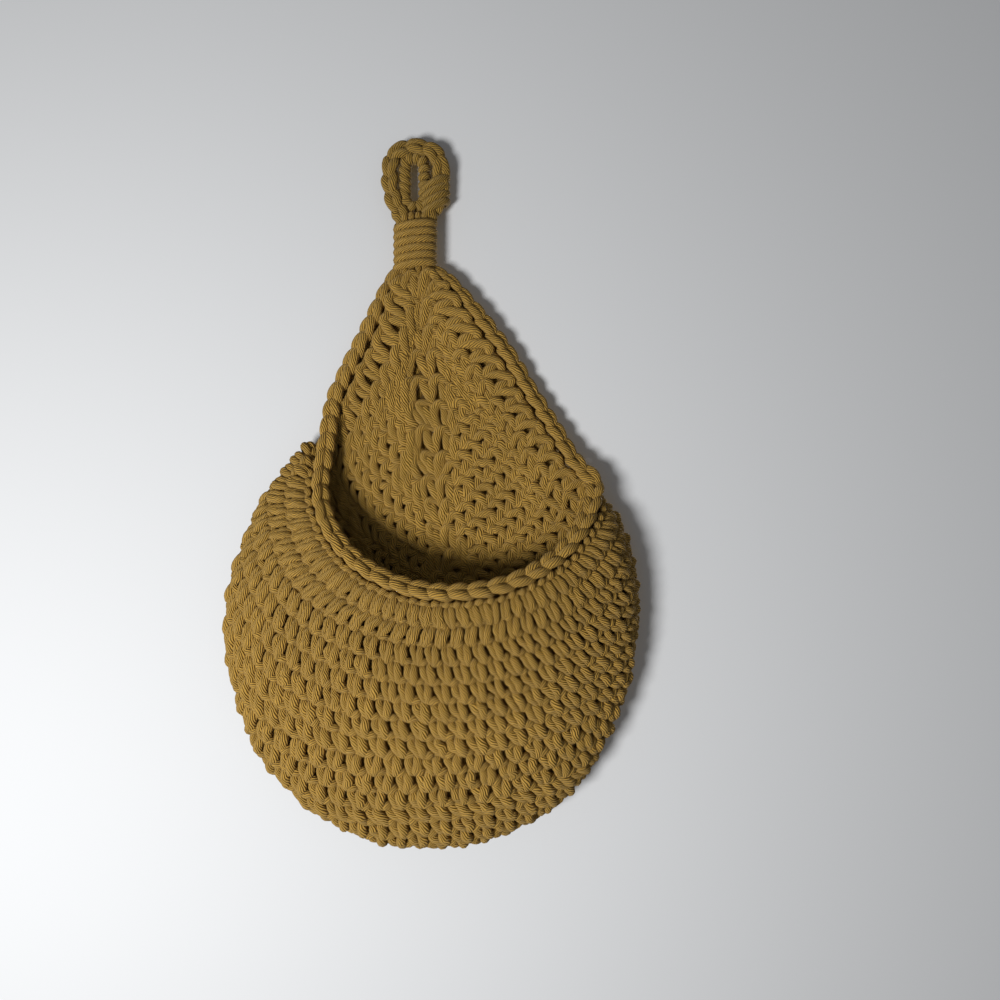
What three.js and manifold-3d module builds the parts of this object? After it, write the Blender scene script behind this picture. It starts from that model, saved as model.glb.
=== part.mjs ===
import * as THREE from 'three';
import { mergeVertices } from 'three/addons/utils/BufferGeometryUtils.js';
import Module from 'manifold-3d';

// A hanging wall pouch, crocheted from one thick soft cotton cord.
// The pouch is a bowl worked in rounds and hung from one point of its rim, so that its far side
// lies flat on the wall as a tall back and its near side folds over as a low front.
// A slip-stitched braid edges the whole rim, a crocheted ring with a slot hangs on the pin,
// and the same cord is wound round the gathered neck between the ring and the pouch.
//
// Millimetres. x runs to the right as seen from the room, z runs up, and the wall is y = 0,
// so the room is towards -y. The origin is where the pin stands out of the wall, under the
// top of the slot. A depth is a distance from the wall, towards the room.

// General sizes
const touchGap = 0.3;
const fabricThickness = 9;

// Hanging ring
const ringTopZ = 15.5;
const ringHeight = 56.4;
const ringHalfWidth = 23;
const ringThickness = 10;
const ringDepth = 7;
const ringEdgeRound = 2.6;
const slotHalfWidth = 3.4;
const slotLength = 27;
const ringBottomZ = ringTopZ - ringHeight;

// Each row of the ring's outline: share of its height below the top, share of the half-width
const ringShares = [
  [0, 0],
  [0.025, 0.42],
  [0.11, 0.76],
  [0.25, 0.95],
  [0.42, 1],
  [0.6, 0.97],
  [0.78, 0.86],
  [0.92, 0.7],
  [1, 0.6],
];

// Winding of the neck, close under the ring
const windDiameter = 4.8;
const windPitch = 5.3;
const windTurns = 5.5;
const windBend = 3;
const windTopZ = ringBottomZ - touchGap - windDiameter / 2;
const windStartZ = windTopZ - windPitch * windTurns;

// Neck: core under the winding, the lower half from the pouch and the upper half from the ring
const neckX = 0.6;
const coreHalfWidth = 9.7;
const coreHalfDepth = 4.2;
const coreRoot = 6.4;
const coreSplitZ = (windStartZ + windTopZ) / 2;
const neckDepth = coreHalfDepth + windDiameter + 2 * touchGap;

// The winding stands clear of the core, and its ends go straight into the core's holes
const windStand = touchGap + windDiameter / 2;
const windHalfWidth = coreHalfWidth + windStand;
const windTailReach = windDiameter + windBend - windStand;
const tailHoleGap = 0.7;

// Pouch outline, seen from the front, measured out from the plumb line through the neck
const pouchTopZ = windStartZ - windDiameter / 2 - touchGap;
const pouchHeight = 390.3;
const pouchLeftReach = 127.5;
const pouchRightReach = 157;

// Each row of the outline: share of the height below the top, shares of the left and the
// right reach. Both sides end under the centre of the rounds.
const outlineShares = [
  [0, 0.125, 0.134],
  [0.021, 0.177, 0.195],
  [0.066, 0.237, 0.287],
  [0.136, 0.351, 0.428],
  [0.207, 0.46, 0.533],
  [0.278, 0.556, 0.648],
  [0.332, 0.666, 0.73],
  [0.4, 0.814, 0.94],
  [0.471, 0.9, 0.995],
  [0.54, 0.969, 1],
  [0.6, 0.991, 0.99],
  [0.661, 0.99, 0.957],
  [0.748, 0.936, 0.904],
  [0.835, 0.831, 0.803],
  [0.904, 0.653, 0.683],
  [0.947, 0.497, 0.542],
  [0.976, 0.317, 0.396],
  [0.994, 0.165, 0.254],
];

// Centre of the rounds, on the back
const centreX = 11;
const centreRise = 63.8;

// Mouth: a half ellipse below the shoulders, and the outline's own edges above them. The right
// shoulder lies on the outline and the left one in from it, where the side folds over.
const mouthMidX = 28;
const mouthDrop = 143;
const mouthLeftReach = 89.5;
const mouthSag = 73;
const leftEdgeDrop = 86;

// Depths of the middle of the fabric along the rim
const edgeDepth = 6.8;
const rightShoulderDepth = 14;
const leftShoulderDepth = 25;
const frontDepth = 58;
const neckEaseLength = 90;
const shoulderLiftPower = 4;

// The rim braid, drawn in where it meets the neck
const braidWidth = 11.6;
const braidNeckWidth = 6;
const braidThickness = 9.6;
const braidEndDrop = 2.4;
const braidEaseLength = 40;
const twistGap = 1.9;

// Shape of a line that runs from the centre over the fold to the rim
const foldRadius = 14;
const foldRadiusShare = 0.5;
const easeReach = 60;
const easeHandleShare = 0.5;
const arcHandleShare = 0.55;
const riseHandleShare = 0.6;
const frontHandleShare = 0.35;

// Stretch of the rim over which the fabric turns up and folds forward, either side of the
// point where the rim leaves the outline
const rightFoldStart = 34;
const rightFoldEnd = 40;
const leftFoldStart = 24;
const leftFoldEnd = 80;

// How much the outline, and the turning over of the fabric, draw the stations closer
const foldWayShare = 0.5;
const foldTurnReach = 40;

// Counts
const outlineSamples = 160;
const sideStations = 28;
const turnSamples = 360;
const topStations = 3;
const backRows = 6;
const turnRows = 4;
const frontRows = 9;
const rows = backRows + turnRows + frontRows;
const loopSteps = 24;
const bendSteps = 2;
const tubeSides = 6;
const apartDiameters = 4;
const coreSides = 24;
const holeSides = 12;
const ringSamples = 44;
const slotSegments = 8;
const edgeSteps = 2;

const wallSide = new THREE.Vector3(0, 1, 0);
const roomSide = new THREE.Vector3(0, -1, 0);

// Ochre cotton, dyed in the cord
const cottonMaterial = (name, color) =>
  new THREE.MeshStandardMaterial({ name, color, roughness: 0.92, metalness: 0 });

const ease = (share) => {
  const held = THREE.MathUtils.clamp(share, 0, 1);
  return held * held * (3 - 2 * held);
};

// One side of the pouch outline as evenly spaced points, from the neck to the lowest point
function outlineSide(side) {
  const points = outlineShares.map(([down, left, right]) => new THREE.Vector2(
    side < 0 ? neckX - pouchLeftReach * left : neckX + pouchRightReach * right,
    pouchTopZ - pouchHeight * down,
  ));
  points.push(new THREE.Vector2(centreX, pouchTopZ - pouchHeight));
  return new THREE.SplineCurve(points).getSpacedPoints(outlineSamples);
}

// The same points moved into the fabric, square to the outline
function insetSide(points, side, inset) {
  return points.map((point, index) => {
    const before = points[Math.max(index - 1, 0)];
    const after = points[Math.min(index + 1, points.length - 1)];
    const along = after.clone().sub(before).normalize();
    const inward = new THREE.Vector2(along.y, -along.x).multiplyScalar(side);
    return point.clone().addScaledVector(inward, inset(pouchTopZ - point.y));
  });
}

const centre = new THREE.Vector2(centreX, pouchTopZ - pouchHeight + centreRise);

// The turn at which a point is seen from the centre, 0 straight up and growing to either side
const turnOf = (point, side) => Math.atan2(side * (point.x - centre.x), point.y - centre.y);

// The point of a side line that is seen from the centre at a turn
function pointAtTurn(points, side, turn) {
  for (let index = 1; index < points.length; index += 1) {
    const before = turnOf(points[index - 1], side);
    const after = turnOf(points[index], side);
    if (after >= turn) {
      return points[index - 1].clone().lerp(points[index], (turn - before) / (after - before));
    }
  }
  return points[points.length - 1].clone();
}

const braidWidthAt = (drop) =>
  THREE.MathUtils.lerp(braidNeckWidth, braidWidth, ease(drop / braidEaseLength));

const mouthLowZ = pouchTopZ - mouthDrop - mouthSag;

// Everything that one side of the pouch needs to place its rim
function sideShape(side) {
  const outline = outlineSide(side);
  const edge = insetSide(outline, side, (drop) => braidWidthAt(drop) / 2);
  const leaveZ = pouchTopZ - (side > 0 ? mouthDrop : leftEdgeDrop);
  const leaveAt = edge.find((point) => point.y <= leaveZ);
  const leftShoulder = new THREE.Vector2(mouthMidX - mouthLeftReach, pouchTopZ - mouthDrop);
  const shoulder = side > 0 ? leaveAt : leftShoulder;
  const firstAt = edge.find((point) => point.y <= pouchTopZ - braidEndDrop);
  return {
    side,
    outline,
    edge,
    shoulder,
    shoulderTurn: turnOf(shoulder, side),
    leaveAt,
    leaveTurn: turnOf(leaveAt, side),
    firstTurn: turnOf(firstAt, side),
    fold: insetSide(outline, side, () => fabricThickness / 2),
    shoulderDepth: side > 0 ? rightShoulderDepth : leftShoulderDepth,
    foldStart: side > 0 ? rightFoldStart : leftFoldStart,
    foldEnd: side > 0 ? rightFoldEnd : leftFoldEnd,
  };
}

// Middle line of the braid at a turn: on the edge, then down to the shoulder, then the ellipse
function braidMiddle(shape, turn) {
  if (turn <= shape.leaveTurn) {
    const point = pointAtTurn(shape.edge, shape.side, turn);
    const nearNeck = 1 - ease((pouchTopZ - point.y) / neckEaseLength);
    const nearShoulder = ease((turn - shape.firstTurn) / (shape.leaveTurn - shape.firstTurn));
    const shoulderLift = shape.side > 0 ? shape.shoulderDepth - edgeDepth : 0;
    const depth = edgeDepth + (neckDepth - edgeDepth) * nearNeck
      + shoulderLift * nearShoulder ** shoulderLiftPower;
    return new THREE.Vector3(point.x, -depth, point.y);
  }
  if (turn < shape.shoulderTurn) {
    const share = (turn - shape.leaveTurn) / (shape.shoulderTurn - shape.leaveTurn);
    const point = shape.leaveAt.clone().lerp(shape.shoulder, share);
    const depth = THREE.MathUtils.lerp(edgeDepth, shape.shoulderDepth, share);
    return new THREE.Vector3(point.x, -depth, point.y);
  }
  const share = (turn - shape.shoulderTurn) / (Math.PI - shape.shoulderTurn);
  const around = share * Math.PI / 2;
  const depth = THREE.MathUtils.lerp(shape.shoulderDepth, frontDepth, Math.sin(around));
  return new THREE.Vector3(
    mouthMidX + (shape.shoulder.x - mouthMidX) * Math.cos(around),
    -depth,
    shape.shoulder.y - (shape.shoulder.y - mouthLowZ) * Math.sin(around),
  );
}

// Turns down one side that share the way along the rim and along the fold between them, with
// how far the fabric has folded over at each, from 0, flat on the wall, to 1
function sideTurns(shape) {
  const places = [];
  for (let index = 0; index <= turnSamples; index += 1) {
    const turn = THREE.MathUtils.lerp(shape.firstTurn, Math.PI, index / turnSamples);
    const fold = pointAtTurn(shape.fold, shape.side, turn);
    places.push({ shape, turn, fold, braid: braidMiddle(shape, turn), rimWay: 0, way: 0 });
  }
  for (let index = 1; index <= turnSamples; index += 1) {
    const [before, place] = [places[index - 1], places[index]];
    place.rimWay = before.rimWay + place.braid.distanceTo(before.braid);
  }
  const leaveWay = places.find(({ turn }) => turn >= shape.leaveTurn).rimWay;
  for (const place of places) {
    const past = place.rimWay - leaveWay;
    place.folded = ease((past + shape.foldStart) / (shape.foldStart + shape.foldEnd));
  }
  for (let index = 1; index <= turnSamples; index += 1) {
    const [before, place] = [places[index - 1], places[index]];
    const foldStep = place.fold.distanceTo(before.fold) * foldWayShare;
    const turnStep = (place.folded - before.folded) * Math.PI * foldTurnReach;
    place.way = before.way + place.rimWay - before.rimWay + foldStep + turnStep;
  }
  const total = places[turnSamples].way;
  const picked = [];
  for (let step = 0; step < sideStations; step += 1) {
    picked.push(places.find(({ way }) => way >= total * step / sideStations));
  }
  picked.push(places[turnSamples]);
  return picked;
}

// Stations round the rim, from the right of the neck, down, along the front and up to its left
function rimStations() {
  const right = sideTurns(sideShape(1));
  const left = sideTurns(sideShape(-1));
  return [...right, ...left.slice(0, -1).reverse()];
}

// Adds to each station the direction in which the fabric leaves its rim, and the rim itself
function aimStations(stations) {
  stations.forEach((station, index) => {
    const before = stations[Math.max(index - 1, 0)].braid;
    const after = stations[Math.min(index + 1, stations.length - 1)].braid;
    const along = after.clone().sub(before).normalize();
    const away = new THREE.Vector3().crossVectors(roomSide, along).normalize();
    const lifted = new THREE.Vector3().crossVectors(along, away).normalize();
    const angle = Math.PI * station.folded;
    const leaving = away.multiplyScalar(Math.cos(angle)).addScaledVector(lifted, Math.sin(angle));
    const width = braidWidthAt(pouchTopZ - station.braid.z);
    station.leaving = leaving;
    station.outside = new THREE.Vector3().crossVectors(leaving, along).normalize();
    station.braidHalf = width / 2;
    const seat = width / 2 + touchGap + twistGap * Math.sin(angle);
    station.rim = station.braid.clone().addScaledVector(leaving, -seat);
  });
  return stations;
}

// Stations under the winding, where the rim is gathered and has no braid
function gatherStations(first, last) {
  const gathered = [];
  for (let index = 1; index <= topStations; index += 1) {
    const share = index / (topStations + 1);
    const rim = last.rim.clone().lerp(first.rim, share);
    rim.z = pouchTopZ;
    rim.y = -neckDepth;
    const shape = share < 0.5 ? last.shape : first.shape;
    const leaving = new THREE.Vector3(0, 0, 1);
    gathered.push({ shape, turn: 0, folded: 0, rim, leaving, outside: wallSide });
  }
  return gathered;
}

const flatDepth = fabricThickness / 2;
const onWall = (point, depth = flatDepth) => new THREE.Vector3(point.x, -depth, point.y);

// Line that stays in the back of the pouch and runs straight out to the rim, with its end
// turned up as the rim asks
function backLine({ rim, leaving }) {
  const start = onWall(centre);
  const outward = new THREE.Vector3(rim.x - start.x, 0, rim.z - start.z);
  const distance = outward.length();
  outward.normalize();
  const bendStart = start.clone().addScaledVector(outward, distance - easeReach);
  const handle = easeReach * easeHandleShare;
  const rise = (-rim.y - flatDepth) * arcHandleShare;
  const endHandle = rim.clone().sub(new THREE.Vector3(
    leaving.x * handle,
    leaving.y * rise,
    leaving.z * handle,
  ));
  const turnedUp = new THREE.CubicBezierCurve3(
    bendStart,
    bendStart.clone().addScaledVector(outward, handle),
    endHandle,
    rim,
  );
  return [
    ...new THREE.LineCurve3(start, bendStart).getPoints(backRows),
    ...turnedUp.getPoints(turnRows + frontRows).slice(1),
  ];
}

// Line that runs out along the back, turns forward at the outline and comes back to the rim
function foldLine({ shape, turn, rim, leaving }) {
  const start = onWall(centre);
  const turned = pointAtTurn(shape.fold, shape.side, turn);
  const radius = Math.min(foldRadius, (-rim.y - flatDepth) * foldRadiusShare);
  const corner = onWall(turned, flatDepth + radius);
  const outward = onWall(turned).sub(start);
  const distance = outward.length();
  outward.normalize();
  const bendStart = start.clone().addScaledVector(outward, distance - radius);
  const inward = new THREE.Vector3(rim.x - corner.x, 0, rim.z - corner.z);
  const span = inward.length();
  inward.normalize();
  const step = Math.PI / turnSamples;
  const nearer = onWall(pointAtTurn(shape.fold, shape.side, turn - step));
  const alongFold = onWall(turned).sub(nearer).normalize();
  const slip = (outward.dot(alongFold) + inward.dot(alongFold)) / 2;
  const forward = roomSide.clone().addScaledVector(alongFold, slip).normalize();
  const toCorner = new THREE.CubicBezierCurve3(
    bendStart,
    bendStart.clone().addScaledVector(outward, radius * arcHandleShare),
    corner.clone().addScaledVector(forward, -radius * arcHandleShare),
    corner,
  );
  const toRim = new THREE.CubicBezierCurve3(
    corner,
    corner.clone().addScaledVector(forward, (corner.y - rim.y) * riseHandleShare),
    rim.clone().addScaledVector(leaving, -span * frontHandleShare),
    rim,
  );
  return [
    ...new THREE.LineCurve3(start, bendStart).getPoints(backRows),
    ...toCorner.getPoints(turnRows).slice(1),
    ...toRim.getPoints(frontRows).slice(1),
  ];
}

// Line through the middle of the fabric, from the centre to the rim. Where the fabric begins
// to fold it lies between the two kinds of line.
function meridian(station) {
  const flat = backLine(station);
  if (station.folded === 0) {
    return flat;
  }
  const folded = foldLine(station);
  return flat.map((point, index) => point.lerp(folded[index], ease(station.folded)));
}

// Closed mesh from lists of points and of corner numbers
function meshGeometry(points, faces) {
  const geometry = new THREE.BufferGeometry();
  const places = points.flatMap((point) => [point.x, point.y, point.z]);
  geometry.setAttribute('position', new THREE.Float32BufferAttribute(places, 3));
  geometry.setIndex(faces);
  geometry.computeVertexNormals();
  return geometry;
}

// The crocheted bowl: two skins a fabric's thickness apart, joined along the rim
function pouchShell(stations) {
  const lines = stations.map(meridian);
  const count = lines.length;
  const line = (index) => lines[(index + count) % count];
  const points = [];
  const faces = [];
  for (const skin of [1, -1]) {
    points.push(line(0)[0].clone().addScaledVector(wallSide, skin * fabricThickness / 2));
    for (let row = 1; row <= rows; row += 1) {
      for (let index = 0; index < count; index += 1) {
        const across = line(index + 1)[row].clone().sub(line(index - 1)[row]);
        const onward = line(index)[Math.min(row + 1, rows)].clone().sub(line(index)[row - 1]);
        const outside = row < rows ? onward.cross(across).normalize() : stations[index].outside;
        points.push(line(index)[row].clone().addScaledVector(outside, skin * fabricThickness / 2));
      }
    }
  }
  const skinSize = 1 + rows * count;
  const at = (skin, row, index) => skin * skinSize + 1 + (row - 1) * count + index % count;
  const quad = (a, b, c, d) => faces.push(a, b, c, a, c, d);
  for (let index = 0; index < count; index += 1) {
    faces.push(0, at(0, 1, index), at(0, 1, index + 1));
    faces.push(skinSize, at(1, 1, index + 1), at(1, 1, index));
    for (let row = 1; row < rows; row += 1) {
      quad(at(0, row, index), at(0, row + 1, index), at(0, row + 1, index + 1), at(0, row, index + 1));
      quad(at(1, row, index), at(1, row, index + 1), at(1, row + 1, index + 1), at(1, row + 1, index));
    }
    quad(at(0, rows, index), at(1, rows, index), at(1, rows, index + 1), at(0, rows, index + 1));
  }
  return meshGeometry(points, faces);
}

// A rounded bar that stands on end: the core inside the winding
function coreBar(bottomZ, topZ) {
  const outline = new THREE.Shape();
  outline.absellipse(0, 0, coreHalfWidth, coreHalfDepth, 0, 2 * Math.PI);
  const bar = new THREE.ExtrudeGeometry(outline, {
    depth: topZ - bottomZ,
    bevelEnabled: false,
    curveSegments: coreSides,
  });
  bar.translate(neckX, -neckDepth, bottomZ);
  return bar;
}

// The hole in the core's side that takes an end of the winding
function tailHole(side, holeZ) {
  const radius = windDiameter / 2 + tailHoleGap;
  const depth = windTailReach + touchGap;
  const hole = new THREE.CylinderGeometry(radius, radius, 2 * depth, holeSides);
  hole.rotateZ(Math.PI / 2);
  hole.translate(neckX + side * coreHalfWidth, -neckDepth, holeZ);
  return hole;
}

const wasm = await Module();
wasm.setup();

// Turns a closed mesh into a solid that can be cut or joined
function solid(geometry) {
  const bare = geometry.clone();
  bare.deleteAttribute('normal');
  bare.deleteAttribute('uv');
  const merged = mergeVertices(bare);
  return new wasm.Manifold(new wasm.Mesh({
    numProp: 3,
    vertProperties: new Float32Array(merged.attributes.position.array),
    triVerts: new Uint32Array(merged.index.array),
  }));
}

function geometryOf(body) {
  const mesh = body.getMesh();
  const geometry = new THREE.BufferGeometry();
  geometry.setAttribute('position', new THREE.BufferAttribute(mesh.vertProperties, 3));
  geometry.setIndex(new THREE.BufferAttribute(mesh.triVerts, 1));
  geometry.computeVertexNormals();
  return geometry;
}

// Pouch with its gathered neck standing up inside the winding
function pouchGeometry(stations) {
  const gathered = gatherStations(stations[0], stations[stations.length - 1]);
  const shell = solid(pouchShell([...stations, ...gathered]));
  const stem = solid(coreBar(pouchTopZ - coreRoot, coreSplitZ));
  return geometryOf(shell.add(stem).subtract(solid(tailHole(-1, windStartZ))));
}

// Rim braid: a bar with a rounded section that follows the rim, closed at both ends
function braidGeometry(stations) {
  const halfThick = braidThickness / 2;
  const sectionShares = [
    [-1, -0.55],
    [-0.5, -1],
    [0.45, -1],
    [1, -0.4],
    [1, 0.4],
    [0.45, 1],
    [-0.5, 1],
    [-1, 0.55],
  ];
  const sides = sectionShares.length;
  const points = [];
  const faces = [];
  for (const station of stations) {
    for (const [out, up] of sectionShares) {
      points.push(station.braid.clone()
        .addScaledVector(station.leaving, out * station.braidHalf)
        .addScaledVector(station.outside, up * halfThick));
    }
  }
  const last = stations.length - 1;
  for (let ring = 0; ring < last; ring += 1) {
    for (let side = 0; side < sides; side += 1) {
      const next = (side + 1) % sides;
      const near = ring * sides;
      const far = near + sides;
      faces.push(near + side, far + side, far + next, near + side, far + next, near + next);
    }
  }
  for (let side = 1; side < sides - 1; side += 1) {
    faces.push(0, side, side + 1);
    faces.push(last * sides, last * sides + side + 1, last * sides + side);
  }
  return meshGeometry(points, faces);
}

// Middle line of the winding: out of the core on the left, round the neck, and back in on the
// right. It climbs by one pitch a turn.
function windingPath() {
  const points = [];
  const tail = (side, height) => {
    const inner = neckX + side * (coreHalfWidth - windTailReach);
    const outer = neckX + side * (windHalfWidth - windBend);
    const middle = (inner + outer) / 2;
    return [inner, middle, outer].map((x) => new THREE.Vector3(x, -neckDepth, height));
  };
  const steps = loopSteps * windTurns;
  points.push(...tail(-1, windStartZ));
  for (let step = bendSteps; step <= steps - bendSteps; step += 1) {
    const angle = step / loopSteps * Math.PI * 2;
    const wide = Math.cos(angle);
    const deep = Math.sin(angle);
    const stretch = Math.hypot(coreHalfWidth * deep, coreHalfDepth * wide);
    points.push(new THREE.Vector3(
      neckX - wide * (coreHalfWidth + windStand * coreHalfDepth / stretch),
      -neckDepth - deep * (coreHalfDepth + windStand * coreHalfWidth / stretch),
      windStartZ + windPitch * step / loopSteps,
    ));
  }
  points.push(...tail(1, windTopZ).reverse());
  return points;
}

// Tube of a few sides along a list of points, with flat ends
function tubeGeometry(path, diameter) {
  const points = [];
  const faces = [];
  let up = new THREE.Vector3(0, 0, 1);
  path.forEach((point, index) => {
    const before = path[Math.max(index - 1, 0)];
    const after = path[Math.min(index + 1, path.length - 1)];
    const along = after.clone().sub(before).normalize();
    up = up.clone().addScaledVector(along, -up.dot(along)).normalize();
    const across = new THREE.Vector3().crossVectors(along, up);
    for (let side = 0; side < tubeSides; side += 1) {
      const angle = (side + 0.5) / tubeSides * Math.PI * 2;
      points.push(point.clone()
        .addScaledVector(across, Math.cos(angle) * diameter / 2)
        .addScaledVector(up, Math.sin(angle) * diameter / 2));
    }
  });
  const last = path.length - 1;
  for (let ring = 0; ring < last; ring += 1) {
    for (let side = 0; side < tubeSides; side += 1) {
      const next = (side + 1) % tubeSides;
      const near = ring * tubeSides;
      const far = near + tubeSides;
      faces.push(near + side, far + side, far + next, near + side, far + next, near + next);
    }
  }
  for (let side = 1; side < tubeSides - 1; side += 1) {
    faces.push(0, side, side + 1);
    faces.push(last * tubeSides, last * tubeSides + side + 1, last * tubeSides + side);
  }
  return meshGeometry(points, faces);
}

// Least gap of a wound tube to itself: least distance between points of its middle line that
// lie well apart along it, less the diameter
function leastGap(path, diameter) {
  const lengths = [0];
  for (let index = 1; index < path.length; index += 1) {
    lengths.push(lengths[index - 1] + path[index].distanceTo(path[index - 1]));
  }
  let least = Infinity;
  for (let first = 0; first < path.length; first += 1) {
    for (let second = first + 1; second < path.length; second += 1) {
      if (lengths[second] - lengths[first] > apartDiameters * diameter) {
        least = Math.min(least, path[first].distanceTo(path[second]) - diameter);
      }
    }
  }
  return least;
}

// Hanging ring with its slot, and the tab that the winding holds
function ringGeometry() {
  const right = ringShares.map(([down, across]) => new THREE.Vector2(
    neckX + ringHalfWidth * across,
    ringTopZ - ringHeight * down,
  ));
  const left = right.slice(1).reverse().map((point) => new THREE.Vector2(
    2 * neckX - point.x,
    point.y,
  ));
  const shape = new THREE.Shape();
  shape.setFromPoints(new THREE.SplineCurve([...left, ...right]).getSpacedPoints(ringSamples));
  shape.closePath();
  const slot = new THREE.Path();
  slot.absarc(0, -slotHalfWidth, slotHalfWidth, 0, Math.PI);
  slot.absarc(0, slotHalfWidth - slotLength, slotHalfWidth, Math.PI, 2 * Math.PI);
  slot.closePath();
  shape.holes.push(slot);
  const ring = new THREE.ExtrudeGeometry(shape, {
    depth: ringThickness - 2 * ringEdgeRound,
    bevelThickness: ringEdgeRound,
    bevelSize: ringEdgeRound,
    bevelOffset: -ringEdgeRound,
    bevelSegments: edgeSteps,
    curveSegments: slotSegments,
  });
  ring.rotateX(Math.PI / 2);
  ring.translate(0, -ringDepth + ringThickness / 2 - ringEdgeRound, 0);
  const tab = coreBar(coreSplitZ + touchGap, ringBottomZ + coreRoot);
  const tabHole = tailHole(1, windTopZ);
  return geometryOf(solid(ring).add(solid(tab)).subtract(solid(tabHole)));
}

const group = new THREE.Group();

function addPiece(name, geometry, color) {
  const mesh = new THREE.Mesh(geometry, cottonMaterial(name, color));
  mesh.name = name;
  group.add(mesh);
}

const stations = aimStations(rimStations());
addPiece('crocheted_pouch', pouchGeometry(stations), 0xa9853f);
addPiece('rim_braid', braidGeometry(stations), 0xb08c45);
const windPath = windingPath();
addPiece('neck_winding', tubeGeometry(windPath, windDiameter), 0xb49049);
addPiece('hanging_ring', ringGeometry(), 0xab8741);
console.log(`least gap of the winding to itself: ${leastGap(windPath, windDiameter).toFixed(2)} mm`);

export default group;
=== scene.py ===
"""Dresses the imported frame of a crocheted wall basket.

The basket is worked from one thick soft cotton cord: a bowl in rounds of single crochet, hung
from one point of its rim, an edging of slip stitches, a cord wound round the gathered neck and a
small crocheted hanging ring. Each cord is modelled as a cord: its path is worked out from the
shape of the fabric and from the way one stitch is tied, and a round section is swept along it.

Sizes in the classes are millimetres, as in the solid model. Meshes are made in metres.
"""

import logging
import math
from dataclasses import dataclass, field
from enum import Enum
from typing import Sequence

import bmesh
import bpy
import numpy as np
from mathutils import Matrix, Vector


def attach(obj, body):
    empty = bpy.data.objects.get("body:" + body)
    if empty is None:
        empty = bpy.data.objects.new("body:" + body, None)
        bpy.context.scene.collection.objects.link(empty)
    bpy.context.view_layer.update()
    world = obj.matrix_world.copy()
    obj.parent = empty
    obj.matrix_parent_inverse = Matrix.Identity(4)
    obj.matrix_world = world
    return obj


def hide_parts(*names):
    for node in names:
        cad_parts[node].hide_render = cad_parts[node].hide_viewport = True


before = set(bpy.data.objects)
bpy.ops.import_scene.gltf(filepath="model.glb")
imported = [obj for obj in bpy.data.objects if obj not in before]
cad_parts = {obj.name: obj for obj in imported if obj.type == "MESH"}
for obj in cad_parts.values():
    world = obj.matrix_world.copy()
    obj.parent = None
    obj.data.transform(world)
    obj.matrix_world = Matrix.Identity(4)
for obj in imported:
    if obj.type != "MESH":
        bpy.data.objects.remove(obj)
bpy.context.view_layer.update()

MM = 0.001
SMALLEST_LENGTH = 1e-9
ROOT_BODY = "root"

Array = np.ndarray
Loop = tuple[Array, Array]
Pair = tuple[float, float]
Triple = tuple[float, float, float]
Knot = tuple[float, float, float, float]
Feed = float | tuple | bpy.types.Node | bpy.types.NodeSocket

TO_ROOM = np.array([0.0, -1.0, 0.0])
UP = np.array([0.0, 0.0, 1.0])

log = logging.getLogger("wall_basket")


class Side(Enum):
    """The two edges of the pouch, as seen from the room."""

    LEFT = -1
    RIGHT = 1


def ease(share: Array | float) -> Array:
    """Smooth step from 0 to 1, with the share held to that range."""
    held = np.clip(share, 0.0, 1.0)
    return held * held * (3.0 - 2.0 * held)


def unit(vectors: Array) -> Array:
    """Vectors along the last axis at length 1."""
    length = np.linalg.norm(vectors, axis=-1, keepdims=True)
    return vectors / np.maximum(length, SMALLEST_LENGTH)


def heading(points: Array) -> Array:
    """Direction of a row of points at each of them."""
    return unit(np.gradient(points, axis=0))


def shifted(line: Array, reach: Array | float) -> Array:
    """A line on the flat moved to its right, by one distance or by one for each of its points."""
    along = heading(line)
    return line + np.stack([along[:, 1], -along[:, 0]], 1) * np.reshape(reach, (-1, 1))


def standing(flat: Array, depth: float) -> Array:
    """Points seen from the front, as points at a depth from the wall."""
    return np.insert(flat, 1, -depth, axis=-1)


def columns_at(values: Array, index: Array, known: Array) -> Array:
    """Each column of some values, read between its rows.

    Args:
        values: One row for each known place.
        index: The places wanted.
        known: The places of the rows, rising.

    Returns:
        One row for each place wanted.
    """
    columns = values.reshape(len(values), -1).T
    return np.stack([np.interp(index, known, column) for column in columns], 1)


def catmull_rom(points: Array, steps: int, closed: bool) -> Array:
    """Smooth curve through points.

    Args:
        points: Rows of coordinates to pass through.
        steps: Points made for each stretch between two given ones.
        closed: Whether the curve returns to its first point.

    Returns:
        Rows of points along the curve.
    """
    before, after = (points[-1:], points[:2]) if closed else (points[:1], points[-1:])
    held = np.vstack([before, points, after])
    t = (np.arange(steps) / steps)[None, :, None]
    p0, p1, p2, p3 = (held[k:len(held) - 3 + k, None, :] for k in range(4))
    v0, v1 = (p2 - p0) / 2, (p3 - p1) / 2
    cubic, square = 2 * p1 - 2 * p2 + v0 + v1, -3 * p1 + 3 * p2 - 2 * v0 - v1
    curve = (cubic * t**3 + square * t**2 + v0 * t + p1).reshape(-1, points.shape[1])
    return curve if closed else np.vstack([curve, points[-1:]])


def cord_loop(points: Array, radii: Array, steps: int) -> Loop:
    """Smooth closed loop of cord.

    Args:
        points: Places that the cord passes.
        radii: Its radius at each.
        steps: Points made for each stretch between two places.

    Returns:
        Points and radii of the loop.
    """
    path = catmull_rom(points, steps, closed=True)
    return path, catmull_rom(radii[:, None], steps, closed=True)[:, 0]


def bezier(corners: Sequence[Array], steps: int) -> Array:
    """Cubic curve from four control points.

    Args:
        corners: The control points.
        steps: Number of stretches.

    Returns:
        The points of the curve, both ends among them.
    """
    t = np.linspace(0.0, 1.0, steps + 1)[:, None]
    a, b, c, d = corners
    return (1 - t)**3 * a + 3 * (1 - t)**2 * t * b + 3 * (1 - t) * t**2 * c + t**3 * d


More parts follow.
